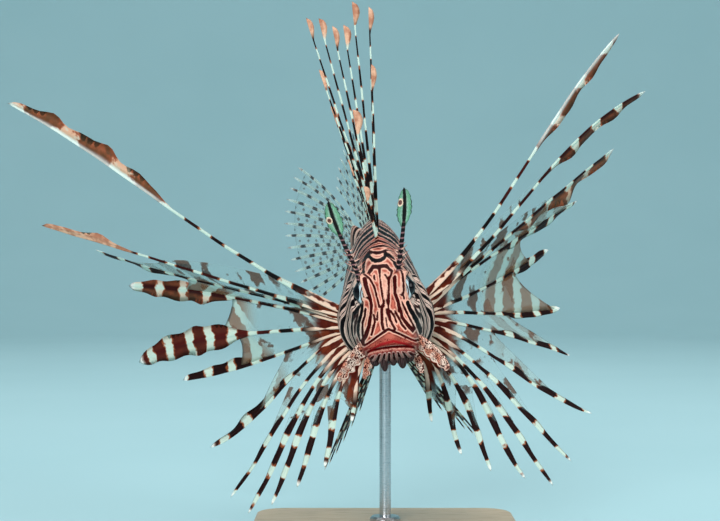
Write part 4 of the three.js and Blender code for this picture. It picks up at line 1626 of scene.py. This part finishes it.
@dataclass(frozen=True)
class PectoralFin:
    """One of the two great side fins, its fleshy root sunk into the flank."""

    name: str
    top: float
    drop: float
    rows: tuple[PectoralRow, ...]
    flesh: float = 27.0
    root_thick: float = 1.6
    ripple: float = 1.3

    def build(self, material: bpy.types.Material) -> None:
        """Builds the fin in place of its node.

        Args:
            material: Its finish.
        """
        side = SIDES[self.name]
        rays = []
        for i, row in enumerate(self.rows):
            u = i / (len(self.rows) - 1)
            root = Vector((side * (22 - 10 * u**1.5), 70 + 6 * u, self.top - self.drop * u))
            a, b = math.radians(row.lift), math.radians(row.sweep)
            way = Vector((side * math.cos(a) * math.cos(b), math.sin(b), math.sin(a) * math.cos(b)))
            up = Vector((-side * math.sin(a), 0, math.cos(a)))
            red, tan = row.look.value
            rays.append(Ray(
                path=Bow(root, root + way * row.length, up, row.late, row.early), length=row.length,
                before=row.vane(row.above), after=row.vane(row.below), thick=Taper(0.3, 0.85, 1.6),
                period=row.period, share=row.share, shift=0.37 * (i % 3) + row.shift, red=red, tan=tan,
                web=row.web, trail=row.trail, cloth=row.cloth, bloom_from=row.bloom,
                slow=row.slow, slow_from=row.start,
            ))
        fin = WebbedFin(rays, flesh=self.flesh, root_thick=self.root_thick, ripple=self.ripple)
        fin.build(f"pectoral_fin_{self.name}", material)


PECTORAL_FINS = (
    PectoralFin("right", 0.0, 27.0, (
        PectoralRow(35.5, 15, 214, -5, 2.2, 9, 0, 0.46, 0.2, 17, 0.46, Look.TAN, -0.45, slow=2.1),
        PectoralRow(
            17, 24, 188, -1, 0.4, 4.5, 0.3, 0.66, 0.6, look=Look.ORANGE, cloth=0.4, trail=0.3, bloom=0.68,
        ),
        PectoralRow(13.4, 32, 169, 0.7, -2.2, 0.5, 3.5, 0.5, 0.62, cloth=0.8, trail=0.12),
        PectoralRow(5.9, 35, 151, 1, 2.8, 4, 6, 0.45, 0.5, look=Look.ORANGE, cloth=0.9, trail=0.08),
        PectoralRow(-11.6, 27, 138, 1, 6, 7, 7, 0.4, 0.5, 14, 0.53, Look.WINE, cloth=0.9, trail=0.15),
        PectoralRow(-19, 28, 116, -0.6, -2, 4.5, 0.5, 0.45, 0.38, cloth=0.6, trail=0.3),
        PectoralRow(-35.3, 7, 102, 5, -4.4, 5, 0.5, 0.3, 0.4, cloth=0.4, trail=0.3),
        PectoralRow(-45.6, -10, 106, 6, -0.7, 1.8, 0.4, 0.3, 0.42),
        PectoralRow(-50.3, -16, 106, 6.5, -0.6, 1.7, 0.4, 0.3, 0.42),
        PectoralRow(-53.7, -18, 95, 6.3, 0.2, 1.7, 0.4, 0.3, 0.42),
        PectoralRow(-57.5, -19, 80, 5.4, 0.2, 1.8, 0.4, 0.3, 0.42, 16),
        PectoralRow(-63.7, -20, 64, 5.4, -0.3, 2, 0.4, 0.3, 0.45, 15),
        PectoralRow(-70, -21, 36, 2, 0, 1, 1, 0.3, 0, 12),
    )),
    PectoralFin("left", 4.0, 30.0, (
        PectoralRow(44.5, 20, 180, -5, 3, 0, 4.2, 0.5, 0.22, look=Look.MAROON, slow=1.45),
        PectoralRow(33, 23, 174, -4, 8, 0, 5, 0.5, 0.3, look=Look.OLIVE),
        PectoralRow(26, 32, 154, -1, 0.5, 0.6, 11, 0.4, 0.65, look=Look.TAN, cloth=0.6),
        PectoralRow(17.3, 42, 136, 2, 0, 3, 4, 0.4, 0.62, cloth=0.8, trail=0.25),
        PectoralRow(3.3, 50, 123, -3, -1, 3, 3, 0.5, 0.7, cloth=0.85),
        PectoralRow(-17.3, 44, 120, 1.2, -3, 4, 2, 0.5, 0.6, cloth=0.4),
        PectoralRow(-27.7, 29, 107, 2, 1.3, 3.5, 0.5, 0.4, 0.45, cloth=0.3),
        PectoralRow(-35.3, 4, 107, 4.5, -3, 3, 0.5, 0.35, 0.4),
        PectoralRow(-46.6, -10, 106, 5.4, 0, 2.2, 0.4, 0.3, 0.4),
        PectoralRow(-53.2, -17, 106, 6.4, 0.6, 1.7, 0.4, 0.3, 0.42),
        PectoralRow(-57, -20, 93, 9, -1, 1.7, 0.4, 0.3, 0.42),
        PectoralRow(-64.5, -22, 79, 6.2, 1.3, 1.7, 0.4, 0.3, 0.42, 16),
        PectoralRow(-71.4, -22, 63, 6.2, -0.8, 1.7, 0.4, 0.3, 0.42, 15),
        PectoralRow(-80.2, -21, 40, 4, 0, 1, 0.8, 0.3, 0, 12),
    )),
)


@dataclass(frozen=True)
class Spine:
    """One dorsal spine: where it stands, its length, its leans and the width of its flag."""

    s: float
    length: float
    lean_left: float
    lean_back: float
    flag: float


@dataclass
class SpinyDorsal:
    """The tall free spines of the back, each with a flag towards its tip that faces the front."""

    web: float = 0.14
    depth: float = 4.0
    ripple: float = 0.8
    flag_face: Triple = (0.95, -0.3, 0)
    flag_length: float = 15.0
    spines: tuple[Spine, ...] = (
        Spine(60, 31, -8, 4, 4), Spine(68, 68, -5, 8, 6), Spine(76, 89, 4, 12, 4), Spine(84, 119, 4, 14, 4),
        Spine(92, 123, 0, 16, 5), Spine(100, 112, -3, 18, 5), Spine(108, 114, -6, 20, 4),
        Spine(116, 122, -9, 22, 5), Spine(124, 126, -12, 23, 4), Spine(132, 98, -13, 27, 4),
        Spine(140, 78, -13, 31, 4), Spine(148, 58, -12, 36, 4), Spine(156, 50, -12, 42, 3),
    )

    def build(self, material: bpy.types.Material) -> None:
        """Builds the spines with their low web.

        Args:
            material: Their finish.
        """
        rays = []
        for i, spine in enumerate(self.spines):
            root = CARRIAGE.bent(0, spine.s, BODY.size("top", spine.s) - self.depth)
            a, b = math.radians(spine.lean_left), math.radians(spine.lean_back)
            way = Vector((math.sin(a), math.sin(b) * math.cos(a), math.cos(a) * math.cos(b)))
            turn = CARRIAGE.heading(spine.s)
            back = Vector((-math.sin(turn), math.cos(turn), 0))
            start = 1 - min(self.flag_length / spine.length, 0.27)
            rays.append(Ray(
                path=Bow(root, root + way * spine.length, back, -0.02 * spine.length), length=spine.length,
                before=Taper(0.2, 0.65), thick=Taper(0.2, 0.8),
                after=Taper(0.3, 0.9, vane=0.7 * spine.flag - 0.3, start=start, peak=0.6 + 0.4 * start),
                share=0.55, shift=0.3 * i, red=0.05, web=self.web, bloom_from=start + 0.02,
                faces=(back, Vector(self.flag_face)),
            ))
        WebbedFin(rays, web_steps=10, ripple=self.ripple).build("dorsal_fin_spiny", material)


@dataclass(frozen=True)
class TailFin:
    """A rounded fin of soft rays that stands in the fish's middle plane on the tail.

    Each pair is the value at the first ray and at the last. Heights are from the named edge of
    the body, or from the middle where none is named. Lengths bulge by a stretch of a sine wave,
    whose pair is in half turns.
    """

    name: str
    count: int
    edge: str
    stations: Pair
    heights: Pair
    leans: Pair
    lengths: Pair
    bulge: float
    wave: Pair
    wave_end: float = 1.0
    web: float = 0.9

    def build(self, material: bpy.types.Material) -> None:
        """Builds the fin in place of its node.

        Args:
            material: Its finish.
        """
        rays = []
        for i in range(self.count):
            u = i / (self.count - 1)
            s, z, lean = blend(self.stations, u), blend(self.heights, u), math.radians(blend(self.leans, u))
            if self.edge:
                z += BODY.size(self.edge, s)
            wave = math.sin(math.pi * min(blend(self.wave, u), self.wave_end))
            length = blend(self.lengths, u) + self.bulge * wave
            vane = Taper(0.35, vane=0.35 * 0.45 * length / self.count)
            rays.append(Ray(
                path=MiddleLine(s, z, length, lean), length=length, before=vane, after=vane,
                thick=Taper(0.25, 0.45), period=11, share=0.26, shift=0.5 * (i % 2), web=self.web, trail=0.02,
            ))
        WebbedFin(rays, ray_steps=24, web_steps=20, web_columns=6).build(self.name, material)


TAIL_FINS = (
    TailFin("dorsal_fin_soft", 11, "top", (164, 199), (-4, -4), (74, 30), (50, 38), 22, (0.25, 0.8)),
    TailFin("anal_fin", 9, "bottom", (152, 192), (4, 4), (-70, -36), (26, 18), 42, (0.12, 0.72), 0.62),
    TailFin("caudal_fin", 13, "", (219, 219), (12.5, -4.5), (32, -32), (68, 68), 5, (0, 1)),
)


@dataclass(frozen=True)
class PelvicFin:
    """One of the two belly fins, folded back and down, by its outer and its inner edge."""

    name: str
    outer: Triple
    inner: Triple
    count: int = 6
    web: float = 0.8

    def build(self, material: bpy.types.Material) -> None:
        """Builds the fin in place of its node.

        Args:
            material: Its finish.
        """
        side = SIDES[self.name]
        vane = Taper(0.5, vane=1.4, start=0.2, peak=0.7)
        rays = []
        for i in range(self.count):
            u = i / (self.count - 1)
            root = Vector((side * (8 - 2.5 * u), 80 + 7 * u, -27.5))
            way = Vector(self.outer).lerp(Vector(self.inner), u) * (1 + 0.1 * math.sin(math.pi * u))
            rays.append(Ray(
                path=Bow(root, root + way, Vector((0, 1, 0)), 2), length=way.length, before=vane, after=vane,
                thick=Taper(0.3, 0.8), period=16, share=0.62, shift=0.2 * i, red=0.05, web=self.web,
            ))
        WebbedFin(rays, ray_steps=36).build(f"pelvic_fin_{self.name}", material)


PELVIC_FINS = (
    PelvicFin("right", (-34, 22, -70), (-14, 52, -50)),
    PelvicFin("left", (38, 26, -62), (16, 52, -48)),
)


# Feelers and flaps


@dataclass(frozen=True)
class EyeTentacle:
    """The feeler above an eye: a ringed stem with a leaf on its outer half and its eyespot."""

    name: str
    root: Triple
    tip: Triple
    spot: float = 0.79
    spot_off: float = 2.2
    ring_gap: float = 2.6
    leaf_half: float = 3.9
    leaf_columns: int = 10

    def build(self, material: bpy.types.Material) -> None:
        """Builds the feeler in place of its node.

        Args:
            material: Its finish.
        """
        form = Form("phase", "along", "blade", "edge", "eyespot")
        path = Bow(Vector(self.root), Vector(self.tip), Vector((SIDES[self.name], 0, 0)), 1)
        across = Vector((1, 0, 0.2)).normalized()
        length = (path.tip - path.root).length

        def radius(t: float) -> float:
            """The radius of the stem at a share of its length."""
            ringed = 1 + 0.1 * math.cos(2 * math.pi * t * length / self.ring_gap) * smooth(t, 0.6, 0.4)
            return (1.4 - 0.72 * t) * ringed * closing(t, 0.97) * (1 + 0.5 * smooth(t, 0.08, 0))

        def rings(t: float) -> Values:
            """The named values of the stem at a share of its length."""
            return {"phase": t * length / self.ring_gap, "along": t, "eyespot": 9.0}

        def leaf(around: float, along: float) -> tuple[Vector, Values]:
            """Places a point of the leaf.

            Args:
                around: The share around it, over its front face and back over the rear one.
                along: The share along it.

            Returns:
                The point and its values.
            """
            column, face = folded(around, self.leaf_columns)
            v = column / self.leaf_columns * 2 - 1
            t = 0.5 + 0.52 * along
            reach = flag(self.leaf_half, 0.48, 0.74, min(t, 0.999)) * (1 + 0.05 * math.sin(50 * along + v))
            q = v * reach * (along < 1)
            thick = 0.2 * (abs(v) < 1) * (0 < along < 1)
            curl = 0.6 * v * v + 0.35 * math.sin(18 * along)
            spot = math.hypot(q + self.spot_off, (t - self.spot) * length * 0.8)
            values = {"along": 1.0, "blade": smooth(abs(q), 0.7, 1.0), "edge": abs(v), "eyespot": spot}
            return path(t) + across * q + Vector((0, curl + face * thick, 0)), values

        form.tube(14, 60, path, radius, Vector((1, 0, 0)), Vector((0, 1, 0)), rings)
        form.loft(2 * self.leaf_columns, 40, leaf)
        form.finish(f"feeler_{self.name}", material, (f"eye_tentacle_{self.name}",))


@dataclass(frozen=True)
class FringedFlap:
    """A fleshy flap with a fringe of short lobes along its lower edge."""

    name: str
    node: str
    root: Triple
    way: Triple
    down: Triple
    length: float
    width: float
    lobes: int
    columns: int = 10

    def build(self, material: bpy.types.Material) -> None:
        """Builds the flap in place of its node.

        Args:
            material: Its finish.
        """
        form = Form("edge")
        way, down = Vector(self.way).normalized(), Vector(self.down).normalized()
        outwards = way.cross(down).normalized()

        def place(around: float, t: float) -> tuple[Vector, Values]:
            """Places a point of the flap.

            Args:
                around: The share around it, over its front face and back over the rear one.
                t: The share along it.

            Returns:
                The point and its values.
            """
            column, face = folded(around, self.columns)
            v = column / self.columns
            spread = self.width * math.sqrt(max(math.sin(math.pi * (0.12 + 0.84 * t)), 0.02))
            notch = 0.5 - 0.5 * math.cos(2 * math.pi * t * (self.lobes + 0.5))
            lower = 0.5 * (0.62 + 0.38 * notch**0.6)
            close = closing(t, 0.94)
            across = (-0.5 + v * (0.5 + lower)) * spread * close
            thick = 0.5 * (1 - 0.6 * v) * (0 < v < 1) * close
            curl = 1.5 * math.sin(3 * t) + 0.7 * v * v * math.sin(2 * math.pi * t * self.lobes)
            point = Vector(self.root) + way * (self.length * t) + down * across
            return point + outwards * (curl + face * thick), {"edge": v}

        form.loft(2 * self.columns, 64, place)
        form.finish(self.name, material, (self.node,))


def all_flaps() -> list[FringedFlap]:
    """The flaps of both sides.

    Returns:
        The flap at the corner of the mouth and the one on the jaw, for each side.
    """
    made = []
    for name, side in SIDES.items():
        made.append(FringedFlap(
            f"mouth_fringe_{name}", f"mouth_flap_{name}", (side * 11, 14, -3), (side * 11.5, -5, -12),
            (-side * 0.6, 0.2, -0.75), 24, 8, 5,
        ))
        made.append(FringedFlap(
            f"jaw_fringe_{name}", f"jaw_flap_{name}", (side * 10.5, 13, -10), (side * 3, -2, -9),
            (-side, 0.2, -0.3), 12, 4.5, 3,
        ))
    return made


@dataclass(frozen=True)
class Cirri:
    """Fine pale skin tags round the foot of a feeler, each a turn on from the last, curling up."""

    name: str
    foot: Triple
    way: Triple
    count: int = 22
    height: float = 15.0
    turn: float = 2.4
    curl: float = 0.35

    def build(self, material: bpy.types.Material) -> None:
        """Builds all the tags in one piece.

        Args:
            material: Their finish.
        """
        form = Form(*SKIN_VALUES)
        way = Vector(self.way).normalized()
        for k in range(self.count):
            out = Vector((math.cos(self.turn * k), math.sin(self.turn * k), 0.25))
            root = Vector(self.foot) + way * (1.5 + self.height * k / self.count) + out * 0.7
            length = 3.3 + 1.3 * math.sin(5.0 * k)

            def path(t: float) -> Vector:
                """The middle line of one tag."""
                return root + out * (length * t) + Vector((0, 0, self.curl * length * t * t))

            def values(t: float) -> Values:
                """The named values of one tag."""
                return {"ink": 0.2 + 0.8 * t, "tone": 0.3, "shade": 0.6}

            form.tube(6, 6, path, Taper(0.06, 0.27), Vector((1, 0, 0)), Vector((0, 1, 1)), values)
        form.finish(f"cirri_{self.name}", material)


@dataclass(frozen=True)
class CheekSpines:
    """Short spines along the edge of each cheek, each by its distance, height and length."""

    spines: tuple[Triple, ...] = ((33, 2, 5), (33, -6, 5.5), (34, -13, 5))
    root_radius: float = 1.3

    def radius(self, t: float) -> float:
        """The radius of a spine at a share of its length."""
        return self.root_radius * (1 - t) ** 0.8

    def values(self, t: float) -> Values:
        """The named values of a spine, the same all along."""
        return {"ink": 1.0, "tone": 1.0, "shade": 1.0}

    def build(self, material: bpy.types.Material) -> None:
        """Builds the spines of both cheeks in one piece.

        Args:
            material: Their finish.
        """
        form = Form(*SKIN_VALUES)
        across, up = Vector((0.9, 0, 0)), Vector((0, 0, 1))
        for side in SIDES.values():
            for s, z, length in self.spines:
                root = Vector((side * (BODY.size("half", s) * 0.9 - 2), s, z))
                path = Bow(root, root + Vector((side * 3.4, length, -1)), up, 0)
                form.tube(10, 10, path, self.radius, across, up, self.values)
        form.finish("cheek_spines", material)


# The stand


@dataclass(frozen=True)
class Stand:
    """A flat wooden base with one steel rod, whose shapes are the frame's own."""

    base: str = "stand_base"
    rod: str = "stand_rod"

    def build(self, wood: bpy.types.Material, steel: bpy.types.Material) -> None:
        """Dresses the base and the rod of the frame.

        Args:
            wood: The base's finish.
            steel: The rod's finish.
        """
        for node, material in ((self.base, wood), (self.rod, steel)):
            piece = bpy.data.objects[node]
            piece.data.materials.clear()
            piece.data.materials.append(material)
            log.info("%s: dressed in %s", node, material.name)


# The studio


@dataclass(frozen=True)
class SoftLight:
    """A square soft light: where it hangs, the point it faces, its side and its strength in watts."""

    name: str
    place: Triple
    aim: Triple
    size: float
    power: float

    def hang(self) -> None:
        """Adds the light to the scene."""
        light = bpy.data.lights.new(self.name, "AREA")
        light.size, light.energy = self.size, self.power
        lamp = bpy.data.objects.new(self.name, light)
        lamp.location = self.place
        lamp.rotation_euler = (Vector(self.aim) - Vector(self.place)).to_track_quat("-Z", "Y").to_euler()
        bpy.context.scene.collection.objects.link(lamp)


@dataclass(frozen=True)
class Studio:
    """A pale floor that curves up into a backdrop, soft lights and the camera, in metres."""

    flat: float = 2.3
    bend: float = 1.5
    rise: float = 3.0
    bend_steps: int = 24
    turn_steps: int = 96
    camera_place: Triple = (-0.0132, -0.824, 0.150)
    lens: float = 78.65
    sensor: float = 36.0
    air: Colour = rgb(0.75, 0.82, 0.85)
    air_strength: float = 0.26
    lights: tuple[SoftLight, ...] = (
        SoftLight("front_light", (-0.35, -1.15, 0.65), (0, 0, 0.12), 0.5, 15),
        SoftLight("side_light", (1.1, -0.5, 0.7), (0, 0, 0.12), 0.7, 7),
        SoftLight("top_light", (0.0, 0.3, 1.5), (0, 0, 0.1), 1.2, 7),
        SoftLight("back_wash", (0.0, 0.9, 2.4), (0, 2.6, 0.8), 2.0, 45),
    )

    def build_floor(self, paper: bpy.types.Material) -> None:
        """Builds the floor, which curves up all round into a backdrop open at the top.

        Args:
            paper: Its finish.
        """
        form = bmesh.new()
        points = [(0.0, 0.0), (self.flat, 0.0)]
        for k in range(1, self.bend_steps + 1):
            a = math.pi / 2 * k / self.bend_steps
            points.append((self.flat + self.bend * math.sin(a), self.bend * (1 - math.cos(a))))
        points.append((points[-1][0], self.bend + self.rise))
        verts = [form.verts.new((x, 0, z)) for x, z in points]
        edges = [form.edges.new(pair) for pair in zip(verts, verts[1:])]
        bmesh.ops.spin(
            form, geom=verts + edges, cent=(0, 0, 0), axis=(0, 0, 1), angle=2 * math.pi,
            steps=self.turn_steps, use_merge=True,
        )
        bmesh.ops.remove_doubles(form, verts=form.verts, dist=1e-5)
        bmesh.ops.recalc_face_normals(form, faces=form.faces)
        add_object("floor", form, paper)

    def build(self, paper: bpy.types.Material) -> None:
        """Sets up the whole studio.

        Args:
            paper: The floor's finish.
        """
        scene = bpy.context.scene
        self.build_floor(paper)
        for light in self.lights:
            light.hang()
        world = bpy.data.worlds.new("studio_air")
        world.use_nodes = True
        background = world.node_tree.nodes["Background"].inputs
        background["Color"].default_value = self.air
        background["Strength"].default_value = self.air_strength
        scene.world = world
        scene.view_settings.view_transform = "Standard"
        camera = bpy.data.objects.new("camera", bpy.data.cameras.new("camera"))
        camera.data.lens = self.lens
        camera.data.sensor_width = self.sensor
        camera.location = self.camera_place
        camera.rotation_euler = (math.pi / 2, 0, 0)
        scene.collection.objects.link(camera)
        scene.camera = camera


def main() -> None:
    """Builds the fish, its stand and the studio."""
    logging.basicConfig(level=logging.INFO, format="%(message)s")
    build_groups()
    skin = SkinFinish("skin", roughness=0.42, shine=0.03).material()
    fins = FinFinish("fin", shine=0.04).material()
    tail = FinFinish(
        "tail_fin", shine=0.04, spotted=True, ray_alpha=0.35, web_alpha=0.12, stain_alpha=0.36,
    ).material()
    belly = FinFinish(
        "belly_fin", shine=0.04, web_alpha=0.6, glass=rgb(0.02, 0.10, 0.11), stain_share=0.42,
    ).material()
    stalk = StalkFinish("feeler", roughness=0.4, shine=0.05).material()
    flap = FlapFinish("fringe", shine=0.05).material()
    eye = EyeFinish(
        "eye", roughness=0.12, coat=0.15, coat_roughness=0.03, shine=0.1, grain_depth=0,
    ).material()
    wood = WoodFinish("ash_wood", roughness=0.42, coat=0.3, grain_per_mm=1.0, grain_depth=0.05).material()
    steel = SteelFinish("brushed_steel", roughness=0.3, metallic=1.0, grain_depth=0).material()
    paper = PaperFinish("studio_paper", roughness=0.9, grain_depth=0).material()
    Skin().build(skin)
    Eyes().build(eye)
    for side_fin in PECTORAL_FINS:
        side_fin.build(fins)
    SpinyDorsal().build(fins)
    for tail_fin in TAIL_FINS:
        tail_fin.build(tail)
    for belly_fin in PELVIC_FINS:
        belly_fin.build(belly)
    EyeTentacle("right", (-10.8, 27, 24), (-22.6, 33, 63.6)).build(stalk)
    EyeTentacle("left", (7.4, 27, 24), (14.8, 33, 66.4), spot=0.86).build(stalk)
    for fringe in all_flaps():
        fringe.build(flap)
    CheekSpines().build(skin)
    Cirri("right", (-10.8, 27, 24), (-11.8, 6, 39.6)).build(skin)
    Cirri("left", (7.4, 27, 24), (7.4, 6, 42.4)).build(skin)
    Stand().build(wood, steel)
    Studio().build(paper)


if __name__ == "__main__":
    main()
